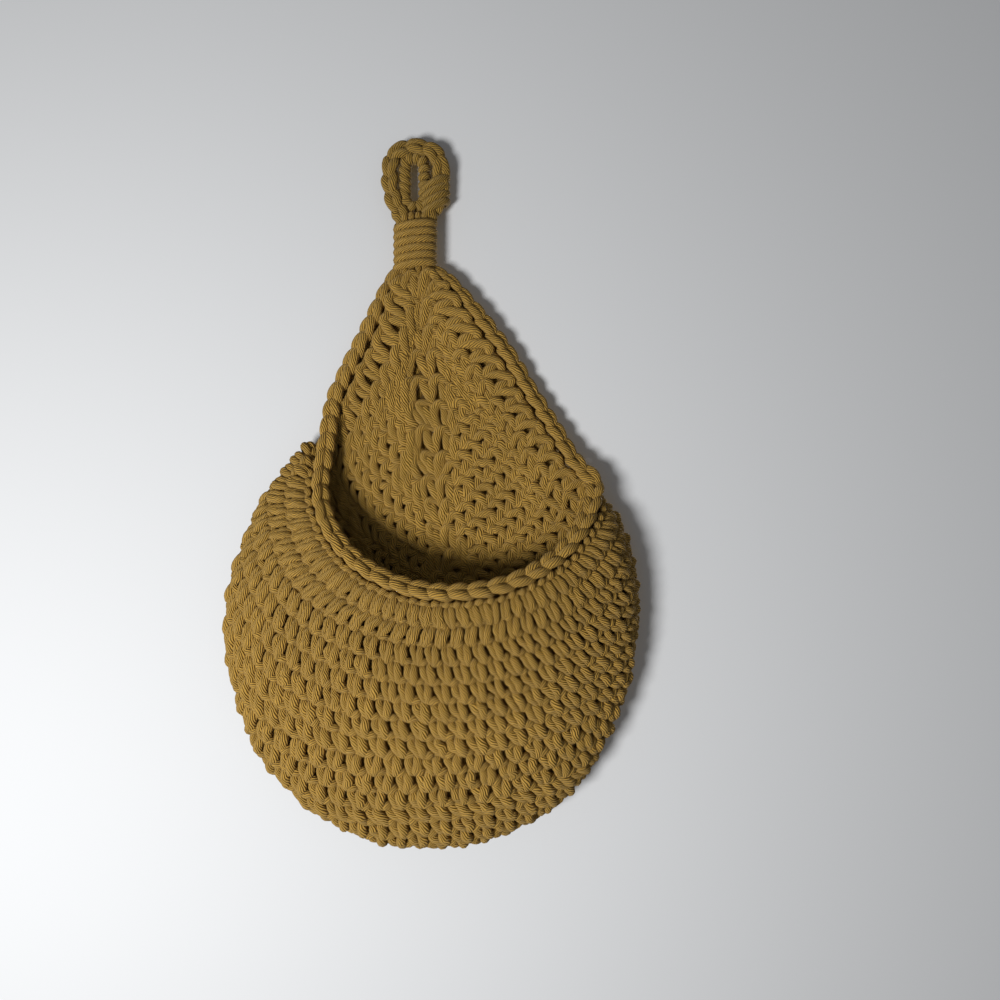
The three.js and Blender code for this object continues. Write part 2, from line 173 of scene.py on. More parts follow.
def distances(points: Array, closed: bool = False) -> Array:
    """Distance along a row of points, from 0 at the first one.

    Args:
        points: Rows of coordinates.
        closed: Whether the way back to the first point is added at the end.

    Returns:
        One distance for each point, and one more where the row is closed.
    """
    if closed:
        points = np.vstack([points, points[:1]])
    steps = np.linalg.norm(np.diff(points, axis=0), axis=1)
    return np.concatenate([[0.0], np.cumsum(steps)])


def at_shares(points: Array, shares: Array) -> Array:
    """Points at given shares of the length of a polyline."""
    way = distances(points)
    return columns_at(points, shares * way[-1], way)


@dataclass(frozen=True)
class PouchSizes:
    """Driving sizes of the pouch, in millimetres, shares and counts, as the solid model has them.

    Each row of the outline holds shares of the height down, of the reach to the left and of the
    reach to the right. A pair of sizes is for the left and for the right edge.
    """

    top_z: float = -75.45
    height: float = 390.3
    neck_x: float = 0.6
    left_reach: float = 127.5
    right_reach: float = 157.0
    outline_shares: tuple[Triple, ...] = (
        (0, 0.125, 0.134), (0.021, 0.177, 0.195), (0.066, 0.237, 0.287), (0.136, 0.351, 0.428),
        (0.207, 0.46, 0.533), (0.278, 0.556, 0.648), (0.332, 0.666, 0.73), (0.4, 0.814, 0.94),
        (0.471, 0.9, 0.995), (0.54, 0.969, 1), (0.6, 0.991, 0.99), (0.661, 0.99, 0.957),
        (0.748, 0.936, 0.904), (0.835, 0.831, 0.803), (0.904, 0.653, 0.683),
        (0.947, 0.497, 0.542), (0.976, 0.317, 0.396), (0.994, 0.165, 0.254),
    )
    lowest_x: float = 11.0
    centre_x: float = 30.0
    centre_rise: float = 54.0
    mouth_mid_x: float = 28.0
    mouth_drop: float = 143.0
    mouth_left_reach: float = 89.5
    mouth_sag: float = 73.0
    left_edge_drop: float = 86.0
    neck_depth: float = 9.6
    edge_depth: float = 6.8
    shoulder_depths: Pair = (25.0, 14.0)
    front_depth: float = 58.0
    neck_ease: float = 90.0
    lift_power: float = 4.0
    braid_width: float = 11.6
    braid_neck_width: float = 6.0
    braid_ease: float = 40.0
    braid_end_drop: float = 2.4
    fabric: float = 9.0
    fold_radius: float = 14.0
    fold_starts: Pair = (24.0, 34.0)
    fold_ends: Pair = (80.0, 40.0)
    ease_reach: float = 60.0

    def per_side(self, pair: Pair, side: Side) -> float:
        """The left or the right one of a pair of sizes."""
        return pair[0] if side is Side.LEFT else pair[1]

    def outline_place(self, shares: Triple, side: Side) -> Pair:
        """Place on one side of the outline, seen from the front, for a row of its shares."""
        reach = self.per_side((-self.left_reach * shares[1], self.right_reach * shares[2]), side)
        return self.neck_x + reach, self.top_z - self.height * shares[0]

    def braid_width_at(self, drop: Array) -> Array:
        """Width of the braid at a drop below the pouch's top."""
        gain = self.braid_width - self.braid_neck_width
        return self.braid_neck_width + gain * ease(drop / self.braid_ease)

    @property
    def centre(self) -> Array:
        """Where the rounds begin, seen from the front."""
        return np.array([self.centre_x, self.top_z - self.height + self.centre_rise])


@dataclass
class RimLine:
    """One side of the rim, sampled by the turn at which it is seen from the centre of the rounds."""

    sizes: PouchSizes
    side: Side
    samples: int = 720
    outline_steps: int = 16
    outline_samples: int = 400
    fold_share: float = 0.5
    turn_reach: float = 40.0

    def __post_init__(self) -> None:
        """Works out the outline, the middle of the braid and how far the fabric has folded."""
        s = self.sizes
        outline = self._outline()
        braid_half = s.braid_width_at(s.top_z - outline[:, 1]) / 2
        self.edge = shifted(outline, braid_half * self.side.value)
        self.fold = shifted(outline, s.fabric / 2 * self.side.value)
        self.leave_at = self._edge_at(s.per_side((s.left_edge_drop, s.mouth_drop), self.side))
        left_shoulder = np.array([s.mouth_mid_x - s.mouth_left_reach, s.top_z - s.mouth_drop])
        self.shoulder = self.leave_at if self.side is Side.RIGHT else left_shoulder
        self.first_turn = self._turn(self._edge_at(s.braid_end_drop)[None])[0]
        self.leave_turn = self._turn(self.leave_at[None])[0]
        self.shoulder_turn = self._turn(self.shoulder[None])[0]
        turns = np.linspace(self.first_turn, math.pi, self.samples + 1)
        self.braid = np.array([self._middle(turn) for turn in turns])
        self.corners = np.array([self._seen_at(self.fold, turn) for turn in turns])
        rim_way = distances(self.braid)
        leave_way = np.interp(self.leave_turn, turns, rim_way)
        start, end = s.per_side(s.fold_starts, self.side), s.per_side(s.fold_ends, self.side)
        self.folded = ease((rim_way - leave_way + start) / (start + end))
        self.way = rim_way + distances(self.corners) * self.fold_share
        self.way += (self.folded - self.folded[0]) * math.pi * self.turn_reach

    def _outline(self) -> Array:
        """This side of the outline, and the last two places of the other side.

        Returns:
            Points from the neck past the lowest one, evenly spaced.
        """
        s = self.sizes
        beyond = Side(-self.side.value)
        rows = [s.outline_place(shares, self.side) for shares in s.outline_shares]
        rows.append((s.lowest_x, s.top_z - s.height))
        rows += [s.outline_place(shares, beyond) for shares in s.outline_shares[:-3:-1]]
        smooth = catmull_rom(np.array(rows), self.outline_steps, closed=False)
        return at_shares(smooth, np.linspace(0, 1, self.outline_samples + 1))

    def _edge_at(self, drop: float) -> Array:
        """Point of the braid's own edge line at a drop below the pouch's top."""
        return self.edge[int(np.argmax(self.edge[:, 1] <= self.sizes.top_z - drop))]

    def _turn(self, points: Array) -> Array:
        """Turns at which points are seen from the centre, 0 straight up."""
        away = points - self.sizes.centre
        return np.unwrap(np.arctan2(self.side.value * away[..., 0], away[..., 1]))

    def _seen_at(self, line: Array, turn: float) -> Array:
        """Point of a line that is seen from the centre at a turn."""
        return columns_at(line, np.array([turn]), np.maximum.accumulate(self._turn(line)))[0]

    def _middle(self, turn: float) -> Array:
        """Middle of the braid: on the edge, then to the shoulder, then round the mouth's ellipse.

        Args:
            turn: The turn at which it is seen from the centre.

        Returns:
            The point, in millimetres.
        """
        s = self.sizes
        shoulder_depth = s.per_side(s.shoulder_depths, self.side)
        if turn <= self.leave_turn:
            x, z = self._seen_at(self.edge, turn)
            near_neck = 1 - ease((s.top_z - z) / s.neck_ease)
            near_shoulder = ease((turn - self.first_turn) / (self.leave_turn - self.first_turn))
            lift = shoulder_depth - s.edge_depth if self.side is Side.RIGHT else 0.0
            depth = s.edge_depth + (s.neck_depth - s.edge_depth) * near_neck
            return np.array([x, -depth - lift * near_shoulder**s.lift_power, z])
        if turn < self.shoulder_turn:
            share = (turn - self.leave_turn) / (self.shoulder_turn - self.leave_turn)
            x, z = self.leave_at + (self.shoulder - self.leave_at) * share
            return np.array([x, -s.edge_depth - (shoulder_depth - s.edge_depth) * share, z])
        around = (turn - self.shoulder_turn) / (math.pi - self.shoulder_turn) * math.pi / 2
        low_z = s.top_z - s.mouth_drop - s.mouth_sag
        return np.array([
            s.mouth_mid_x + (self.shoulder[0] - s.mouth_mid_x) * math.cos(around),
            -shoulder_depth - (s.front_depth - shoulder_depth) * math.sin(around),
            self.shoulder[1] - (self.shoulder[1] - low_z) * math.sin(around),
        ])

    def stations(self, count: int) -> dict[str, Array]:
        """Stations evenly spread by their way down this side.

        Args:
            count: Number of stretches between the neck and the lowest point of the mouth.

        Returns:
            Arrays of the braid's middle, the fold's corner, the fold's direction and the folding.
        """
        whole = np.arange(self.samples + 1)
        index = np.interp(np.linspace(0, self.way[-1], count + 1), self.way, whole)
        lines = {
            "braid": self.braid,
            "corner": self.corners,
            "corner_along": np.gradient(self.corners, axis=0),
            "folded": self.folded,
        }
        picked = {name: columns_at(values, index, whole) for name, values in lines.items()}
        picked["corner_along"] = unit(picked["corner_along"])
        picked["folded"] = picked["folded"][:, 0]
        return picked


@dataclass
class FabricSurface:
    """Middle of the crocheted fabric, as a grid of places round the rim and out from the centre.

    The first axis runs once round the rim, from the neck down its left edge, along the front and
    up its right edge, so that it runs to the right for an eye outside the bowl. The second axis
    counts rounds of stitches from the centre. A handle is the reach of a curve's control point.
    """

    sizes: PouchSizes = field(default_factory=PouchSizes)
    side_count: int = 130
    gather_count: int = 12
    gather_power: float = 0.5
    back_steps: int = 24
    turn_steps: int = 16
    front_steps: int = 36
    row_samples: int = 160
    rounds: float = 20.1
    first_row_share: float = 0.93
    seat: float = 0.3
    twist_seat: float = 1.9
    rim_smoothing: int = 14
    normal_smoothing: int = 4
    row_pitch: float = 11.2
    ease_handle_share: float = 0.5
    rise_handle_share: float = 0.55
    fold_depth_share: float = 0.5
    arc_handle_share: float = 0.55
    turn_handle_share: float = 0.6
    rim_handle_share: float = 0.35

    def __post_init__(self) -> None:
        """Builds the grid of places and of outward directions."""
        left, right = (RimLine(self.sizes, side).stations(self.side_count) for side in Side)
        rim = {name: np.concatenate([left[name], right[name][-2::-1]]) for name in left}
        self.braid = rim["braid"]
        self.folded = rim["folded"]
        for _ in range(self.rim_smoothing):
            inner = (self.braid[:-2] + 2 * self.braid[1:-1] + self.braid[2:]) / 4
            self.braid[1:-1] = inner
        self._aim()
        lines = [self._meridian(k, rim["corner"][k], rim["corner_along"][k])
                 for k in range(len(self.braid))]
        lines += self._gathered()
        self.folded = np.concatenate([self.folded, np.zeros(self.gather_count)])
        self.count = len(lines)
        self.grid = np.stack([self._spread(line) for line in lines])
        onward = np.gradient(self.grid, axis=1)
        round_way = np.roll(self.grid, -1, axis=0) - np.roll(self.grid, 1, axis=0)
        normals = np.cross(round_way, onward)
        # All lines start at the centre, where they give no direction and the fabric faces the wall
        normals[:, 0] = -TO_ROOM
        normals = unit(normals)
        for _ in range(self.normal_smoothing):
            normals = (np.roll(normals, 1, axis=0) + 2 * normals + np.roll(normals, -1, axis=0)) / 4
        self.normals = unit(normals)
        self.leaving_ends = unit(onward[:, -1])

    def _aim(self) -> None:
        """Directions in which the fabric leaves its rim, and the line of the rim itself."""
        along = heading(self.braid)
        away = unit(np.cross(along, TO_ROOM))
        lifted = unit(np.cross(away, along))
        angle = (math.pi * self.folded)[:, None]
        self.leaving = unit(away * np.cos(angle) + lifted * np.sin(angle))
        self.braid_half = self.sizes.braid_width_at(self.sizes.top_z - self.braid[:, 2]) / 2
        back = self.braid_half[:, None] + self.seat + self.twist_seat * np.sin(angle)
        self.rim = self.braid - self.leaving * back

    def _straight(self, point: Array, short: float) -> tuple[Array, Array]:
        """Straight way out along the back, from the centre towards a point seen from the front.

        Args:
            point: The point.
            short: How far before the point the way ends.

        Returns:
            The places on the way, and its direction.
        """
        half = self.sizes.fabric / 2
        start = standing(self.sizes.centre, half)
        flat = standing(point, half) - start
        distance = float(np.linalg.norm(flat))
        outward = flat / distance
        bend = start + outward * (distance - short)
        return np.linspace(start, bend, self.back_steps + 1), outward

    def _back_line(self, rim: Array, leaving: Array) -> Array:
        """Line that stays in the back and ends turned up as the rim asks.

        Args:
            rim: The rim's place.
            leaving: Direction in which the fabric leaves the rim, outwards.

        Returns:
            Places from the centre to the rim.
        """
        s = self.sizes
        straight, outward = self._straight(rim[[0, 2]], s.ease_reach)
        handle = s.ease_reach * self.ease_handle_share
        rise = (-rim[1] - s.fabric / 2) * self.rise_handle_share
        end_handle = rim - leaving * (handle, rise, handle)
        corners = (straight[-1], straight[-1] + outward * handle, end_handle, rim)
        return np.vstack([straight, bezier(corners, self.turn_steps + self.front_steps)[1:]])

    def _fold_line(self, rim: Array, leaving: Array, corner: Array, along: Array) -> Array:
        """Line out along the back, round the fold at the outline and back to the rim.

        Args:
            rim: The rim's place.
            leaving: Direction in which the fabric leaves the rim.
            corner: Place of the fold, seen from the front.
            along: Direction of the fold, seen from the front.

        Returns:
            Places from the centre to the rim.
        """
        s = self.sizes
        half = s.fabric / 2
        radius = min(s.fold_radius, (-rim[1] - half) * self.fold_depth_share)
        turned = standing(corner, half + radius)
        straight, outward = self._straight(corner, radius)
        inward = (rim - turned) * (1, 0, 1)
        span = float(np.linalg.norm(inward))
        inward = inward / span
        fold_along = standing(along, 0.0)
        slip = (outward @ fold_along + inward @ fold_along) / 2
        forward = unit(TO_ROOM + fold_along * slip)
        arc = radius * self.arc_handle_share
        turn = (turned[1] - rim[1]) * self.turn_handle_share
        bend = straight[-1]
        to_corner = (bend, bend + outward * arc, turned - forward * arc, turned)
        to_rim = (turned, turned + forward * turn, rim - leaving * span * self.rim_handle_share, rim)
        return np.vstack([straight, bezier(to_corner, self.turn_steps)[1:],
                          bezier(to_rim, self.front_steps)[1:]])

    def _meridian(self, index: int, corner: Array, along: Array) -> Array:
        """Line through the middle of the fabric from the centre to the rim.

        Args:
            index: The station.
            corner: Place of the fold there, seen from the front.
            along: Direction of the fold there, seen from the front.

        Returns:
            Places from the centre to the rim.
        """
        flat = self._back_line(self.rim[index], self.leaving[index])
        if self.folded[index] <= 0:
            return flat
        folded = self._fold_line(self.rim[index], self.leaving[index], corner, along)
        return flat + (folded - flat) * ease(self.folded[index])

    def _gathered(self) -> list[Array]:
        """Lines to the gathered top.

        Returns:
            Places from the centre to the rim, line by line from the neck's right to its left.
        """
        s = self.sizes
        lines = []
        for share in np.arange(1, self.gather_count + 1) / (self.gather_count + 1):
            rim = self.rim[-1] + (self.rim[0] - self.rim[-1]) * share
            lifted = math.sin(share * math.pi) ** self.gather_power
            rim = np.array([rim[0], -s.neck_depth, rim[2] + (s.top_z - rim[2]) * lifted])
            lines.append(self._back_line(rim, UP))
        return lines

    def _spread(self, line: Array) -> Array:
        """A line as places spread by rounds, which hang a little further apart towards the rim."""
        x = np.linspace(0, 1, self.row_samples + 1)
        return at_shares(line, self.first_row_share * x + (1 - self.first_row_share) * x * x)

    def place(self, around: Array, row: Array, out: Array) -> Array:
        """Points of the fabric.

        Args:
            around: Shares of the way round, of any whole number of turns.
            row: Rounds from the centre.
            out: Distances from the middle of the fabric, outwards.

        Returns:
            The points, in millimetres.
        """
        u = (around % 1.0) * self.count
        v = np.clip(row / self.rounds, 0, 1) * self.row_samples
        beyond = np.maximum(row - self.rounds, 0)
        i, j = np.floor(u).astype(int), np.minimum(np.floor(v).astype(int), self.row_samples - 1)
        fu, fv = (u - i)[:, None], (v - j)[:, None]
        i0, i1 = i % self.count, (i + 1) % self.count
        weights = (((1 - fu) * (1 - fv), i0, j), (fu * (1 - fv), i1, j),
                   ((1 - fu) * fv, i0, j + 1), (fu * fv, i1, j + 1))
        middle = sum(w * self.grid[a, b] for w, a, b in weights)
        normal = unit(sum(w * self.normals[a, b] for w, a, b in weights))
        onward = self.leaving_ends[i0] * (beyond * self.row_pitch)[:, None]
        return middle + onward + normal * out[:, None]

    @property
    def spine_station(self) -> float:
        """Station at the middle of the gathered top, where each round turns its corner."""
        return self.count - (self.gather_count + 1) / 2

    def ring(self, row: float) -> Array:
        """Places of one round.

        Args:
            row: The round, counted from the centre.

        Returns:
            One place for each station, in millimetres.
        """
        v = min(row / self.rounds, 1.0) * self.row_samples
        j = min(int(v), self.row_samples - 1)
        return self.grid[:, j] + (self.grid[:, j + 1] - self.grid[:, j]) * (v - j)


@dataclass
class StitchRound:
    """One round of stitches, counted from 0 at the corner stitch that points to the neck.

    The count runs to the right for an eye outside. On the back the rounds lie parallel to the
    rim's two edges and turn at the corner. In the front the stitches close up towards the rim.
    """

    surface: FabricSurface
    row: int
    total: int
    back_pitch: float = 14.2
    front_pitch: float = 13.6
    closing: float = 6.0
    open_rows: float = 9.0
    closing_rows: float = 11.0
    drift: float = 0.28
    search: float = 3.5
    search_steps: int = 140
    uneven: float = 0.55
    seed: int = 40

    def __post_init__(self) -> None:
        """Spreads the stitches along the round."""
        s = self.surface
        ring = s.ring(self.row)
        closed = max(self.row - self.open_rows, 0.0) / self.closing_rows
        front = self.front_pitch - self.closing * closed * closed
        pitch = self.back_pitch + (front - self.back_pitch) * s.folded
        steps = np.linalg.norm(np.roll(ring, -1, axis=0) - ring, axis=1)
        weights = steps * 2 / (pitch + np.roll(pitch, -1))
        self.stations = np.arange(s.count + 1)
        self.running = np.concatenate([[0.0], np.cumsum(weights)]) / weights.sum()
        self.corner = float(np.interp(s.spine_station, self.stations, self.running))

    def share(self, count: Array) -> Array:
        """Shares of the way round, carried on past whole turns.

        Args:
            count: Counts of stitches.

        Returns:
            One share for each count.
        """
        target = count / self.total + self.corner
        whole = np.floor(target)
        return np.interp(target - whole, self.running, self.stations) / self.surface.count + whole

    def line(self, counts: Array) -> Array:
        """Places in the middle of the fabric at given counts."""
        rows = np.full(len(counts), float(self.row))
        return self.surface.place(self.share(counts), rows, np.zeros(len(counts)))

    def _square_below(self, below: "StitchRound") -> Array:
        """Where each stitch would stand square on the round below, less the drift.

        Args:
            below: The round below.

        Returns:
            One count on the round below for each stitch, and one for the first again.
        """
        counts = np.arange(self.total + 1)
        near = counts * below.total / self.total
        window = np.linspace(-self.search, self.search, self.search_steps + 1)
        choices = np.clip(near[:, None] + window, 0, below.total)
        line = below.line(choices.ravel()).reshape(*choices.shape, 3)
        gap = np.linalg.norm(line - self.line(counts)[:, None], axis=2)
        found = choices[counts, np.argmin(gap, axis=1)]
        stations = (self.share(counts) % 1.0) * self.surface.count
        return found - self.drift * np.interp(stations, self.stations[:-1], self.surface.folded)

    def bases(self, below: "StitchRound") -> Array:
        """Stitches of the round below into which this round's are worked.

        No stitch below is left out. Where the round has more stitches than the one below, two
        are worked into one, near the places that keep the stitches most square to the round, as
        unevenly as a hand does it.

        Args:
            below: The round below.

        Returns:
            One count on the round below for each stitch of this one.
        """
        added = self.total - below.total
        chance = np.random.default_rng(self.seed + self.row)
        wanted = self._square_below(below) + chance.normal(0, self.uneven, self.total + 1)
        shifts = np.arange(added + 1)
        # Least squares over every way to place the shared stitches: for each count of stitches
        # shared so far, the least cost up to this stitch, and whether this one was shared
        best = np.where(shifts == 0, 0.0, np.inf)
        came = np.zeros((self.total + 1, added + 1), dtype=int)
        for stitch in range(1, self.total + 1):
            shared = np.concatenate([[np.inf], best[:-1]])
            came[stitch] = shared < best
            best = np.minimum(shared, best) + (stitch - shifts - wanted[stitch]) ** 2
        counts = np.empty(self.total + 1, dtype=int)
        shift = added
        for stitch in range(self.total, -1, -1):
            counts[stitch] = stitch - shift
            shift -= came[stitch, shift]
        return counts[:-1]


@dataclass(frozen=True)
class CottonCord:
    """Finish of a soft cotton cord, dyed ochre and laid from many fine plies, not polished.

    The scales count patches in a metre, or in one cord radius of 3 mm: wander has a patch each
    6 mm, clouds each 45 mm, tufts each 2 mm and fibres each 0.3 mm. Real fibres are finer and
    real plies more, and both are drawn as coarse as they need to show.
    """

    name: str
    light: str = "#AD873A"
    # Painted shade: the colour of the grooves between plies, darker than the crests
    groove_shade: str = "#64481A"
    sheen_tint: str = "#E8C88A"
    plies: int = 12
    lay_mm: float = 30.0
    ply_depth_mm: float = 1.1
    groove_shade_reach: float = 0.7
    fibre_depth_mm: float = 0.5
    fibre_stretch_mm: float = 6.0
    fibres_per_radius: float = 9.0
    fibre_roughness: float = 0.6
    fibre_shade: float = 0.3
    tufts_per_radius: float = 1.6
    tuft_shade: float = 0.22
    clouds_per_metre: float = 22.0
    cloud_shade: float = 0.22
    least_value: float = 0.63
    wanders_per_metre: float = 160.0
    wander: float = 0.16
    roughness: float = 0.88
    specular: float = 0.2
    sheen: float = 0.25
    sheen_roughness: float = 0.5


@dataclass(frozen=True)
class WallPaint:
    """Finish of a wall with rolled emulsion paint: pale, even and without a highlight."""

    name: str = "matt wall paint"
    colour: str = "#CCCDCE"


def linear(hex_colour: str) -> tuple[float, float, float, float]:
    """Linear colour of an sRGB hex value.

    Args:
        hex_colour: A colour such as "#B8914A".

    Returns:
        Red, green, blue and a full alpha, from 0 to 1.
    """
    channels = [int(hex_colour[k:k + 2], 16) / 255 for k in (1, 3, 5)]
    straight = [c / 12.92 if c <= 0.04045 else ((c + 0.055) / 1.055) ** 2.4 for c in channels]
    return (*straight, 1.0)


class NodeSheet:
    """The nodes of one material or world, with one helper that adds a node with its links."""

    def __init__(self, owner: bpy.types.Material | bpy.types.World) -> None:
        """Starts with no nodes.

        Args:
            owner: The new material or world.
        """
        self.owner = owner
        owner.use_nodes = True
        self.tree = owner.node_tree
        self.tree.nodes.clear()

    def add(self, kind: str, inputs: dict[int | str, Feed] | None = None,
            **settings: object) -> bpy.types.Node:
        """Adds a node.

        Args:
            kind: The node's type, such as "ShaderNodeMath".
            inputs: Input name or number to its value, to the socket that feeds it, or to the
                node whose first output does.
            settings: Properties of the node.

        Returns:
            The node.
        """
        node = self.tree.nodes.new(kind)
        for key, value in settings.items():
            setattr(node, key, value)
        for key, feed in (inputs or {}).items():
            if isinstance(feed, bpy.types.Node):
                feed = feed.outputs[0]
            if isinstance(feed, bpy.types.NodeSocket):
                self.tree.links.new(feed, node.inputs[key])
            else:
                node.inputs[key].default_value = feed
        return node


class CordMaterials:
    """Makes one material for each finish of the cord."""

    def __init__(self) -> None:
        """Starts with no material made."""
        self.made: dict[str, bpy.types.Material] = {}

    def cotton(self, finish: CottonCord) -> bpy.types.Material:
        """The material of one finish.

        Args:
            finish: The cord's colours and the depths of its plies and fibres.

        Returns:
            The material.
        """
        if finish.name in self.made:
            return self.made[finish.name]
        sheet = NodeSheet(bpy.data.materials.new(finish.name))
        cord_map = sheet.add("ShaderNodeUVMap", uv_map=CordSweep.UV)
        along, around, _ = sheet.add("ShaderNodeSeparateXYZ", {0: cord_map}).outputs
        place = sheet.add("ShaderNodeTexCoord").outputs["Object"]
        # A ply goes once round the cord in each length of lay, so the lines lean along the cord
        laid = sheet.add("ShaderNodeMath", {0: along, 1: finish.lay_mm * MM}, operation="DIVIDE")
        laid = sheet.add("ShaderNodeMath", {0: laid, 1: around}, operation="ADD")
        wander = sheet.add("ShaderNodeTexNoise", {
            "Vector": place, "Scale": finish.wanders_per_metre, "Detail": 1.0,
        })
        turned = sheet.add("ShaderNodeMath", {0: wander, 1: finish.wander, 2: laid},
                           operation="MULTIPLY_ADD")
        swing = sheet.add("ShaderNodeMath", {0: turned, 1: math.pi * finish.plies},
                          operation="MULTIPLY")
        swing = sheet.add("ShaderNodeMath", {0: swing}, operation="SINE")
        crest = sheet.add("ShaderNodeMath", {0: swing}, operation="ABSOLUTE")
        angle = sheet.add("ShaderNodeMath", {0: turned, 1: 2 * math.pi}, operation="MULTIPLY")
        ring = sheet.add("ShaderNodeCombineXYZ", {
            0: sheet.add("ShaderNodeMath", {0: angle}, operation="COSINE"),
            1: sheet.add("ShaderNodeMath", {0: angle}, operation="SINE"),
            2: sheet.add("ShaderNodeMath", {0: along, 1: 1 / (finish.fibre_stretch_mm * MM)},
                         operation="MULTIPLY"),
        })
        fibres = sheet.add("ShaderNodeTexNoise", {
            "Vector": ring, "Scale": finish.fibres_per_radius, "Detail": 3.0,
            "Roughness": finish.fibre_roughness,
        })
        tufts = sheet.add("ShaderNodeTexNoise", {
            "Vector": ring, "Scale": finish.tufts_per_radius, "Detail": 2.0,
        })
        clouds = sheet.add("ShaderNodeTexNoise", {
            "Vector": place, "Scale": finish.clouds_per_metre, "Detail": 2.0,
        })
        # Painted shade: the colour runs from the light crest colour to the dark one in the grooves
        # between plies, where shade falls
        depth = sheet.add("ShaderNodeMapRange", {0: crest, 2: finish.groove_shade_reach})
        shade = sheet.add("ShaderNodeMix", {
            0: depth, 6: linear(finish.groove_shade), 7: linear(finish.light),
        }, data_type="RGBA")
        value: Feed = finish.least_value
        for noise, share in ((clouds, finish.cloud_shade), (tufts, finish.tuft_shade),
                             (fibres, finish.fibre_shade)):
            value = sheet.add("ShaderNodeMath", {0: noise, 1: share, 2: value},
                              operation="MULTIPLY_ADD")
        colour = sheet.add("ShaderNodeHueSaturation", {"Color": shade.outputs[2], "Value": value})
        height: Feed = 0.0
        for relief, depth_mm in ((crest, finish.ply_depth_mm), (fibres, finish.fibre_depth_mm)):
            height = sheet.add("ShaderNodeMath", {0: relief, 1: depth_mm * MM, 2: height},
                               operation="MULTIPLY_ADD")
        bump = sheet.add("ShaderNodeBump", {"Height": height, "Strength": 1.0, "Distance": 1.0})
        # Soft undressed cotton: dull all over, with a faint pale down where it turns away from
        # the eye, and fine grooves between its plies, darkened with painted shade, that show which
        # way each strand runs
        shader = sheet.add("ShaderNodeBsdfPrincipled", {
            "Base Color": colour, "Normal": bump, "Roughness": finish.roughness,
            "Specular IOR Level": finish.specular, "Sheen Weight": finish.sheen,
            "Sheen Roughness": finish.sheen_roughness, "Sheen Tint": linear(finish.sheen_tint),
        })
        sheet.add("ShaderNodeOutputMaterial", {"Surface": shader})
        self.made[finish.name] = sheet.owner
        return sheet.owner


@dataclass
class CordSweep:
    """Turns paths of cord into one mesh of closed round tubes, with a map that follows the cord.

    The number of sides is even and at least four.
    """

    UV = "cord_map"
    sides: int = 10

    def mesh(self, name: str, loops: Sequence[Loop]) -> bpy.types.Object:
        """Sweeps a round section along closed loops.

        Args:
            name: The object's name.
            loops: For each loop its points and the cord's radius at each, in millimetres.

        Returns:
            The mesh object, linked to the scene.
        """
        curve = bpy.data.curves.new(name, "CURVE")
        curve.dimensions = "3D"
        curve.fill_mode = "FULL"
        curve.bevel_depth = MM
        curve.bevel_resolution = (self.sides - 4) // 2
        curve.twist_mode = "MINIMUM"
        for points, radii in loops:
            spline = curve.splines.new("POLY")
            spline.points.add(len(points) - 1)
            corners = np.hstack([points * MM, np.ones((len(points), 1))])
            spline.points.foreach_set("co", corners.ravel())
            spline.points.foreach_set("radius", radii)
            spline.use_cyclic_u = True
        swept = bpy.data.objects.new(name, curve)
        bpy.context.collection.objects.link(swept)
        view_layer = bpy.context.evaluated_depsgraph_get()
        mesh = bpy.data.meshes.new_from_object(swept.evaluated_get(view_layer))
        bpy.data.objects.remove(swept)
        bpy.data.curves.remove(curve)
        mesh.name = name
        self._map(mesh, loops)
        mesh.polygons.foreach_set("use_smooth", np.ones(len(mesh.polygons), dtype=bool))
        piece = bpy.data.objects.new(name, mesh)
        bpy.context.collection.objects.link(piece)
        return piece

    def _map(self, mesh: bpy.types.Mesh, loops: Sequence[Loop]) -> None:
        """Gives the mesh a map of metres along the cord and of shares of the way round it.

        Args:
            mesh: The swept mesh, whose points come ring by ring.
            loops: The paths that it was swept along.
        """
        ways = [distances(points, closed=True) * MM for points, _ in loops]
        along = np.repeat(np.concatenate([way[:-1] for way in ways]), self.sides)
        ring = np.repeat(np.concatenate([np.arange(len(way) - 1) for way in ways]), self.sides)
        ends = np.concatenate([np.full(len(way) - 1, way[-1]) for way in ways])
        whole = np.repeat(ends, self.sides)
        side = np.tile(np.arange(self.sides), len(ring) // self.sides)
        corner = np.empty(len(mesh.loops), dtype=np.int32)
        mesh.loops.foreach_get("vertex_index", corner)
        quads = corner.reshape(-1, 4)
        # A face that closes a loop or a turn ends at the whole length or turn and not at 0
        last_ring = np.ptp(ring[quads], axis=1, keepdims=True) > 1
        last_side = np.ptp(side[quads], axis=1, keepdims=True) > 1
        u = np.where(last_ring & (ring[quads] == 0), whole[quads], along[quads])
        v = np.where(last_side & (side[quads] == 0), self.sides, side[quads]) / self.sides
        for layer in list(mesh.uv_layers):
            mesh.uv_layers.remove(layer)
        layer = mesh.uv_layers.new(name=self.UV)
        layer.data.foreach_set("uv", np.stack([u, v], -1).astype(np.float32).ravel())


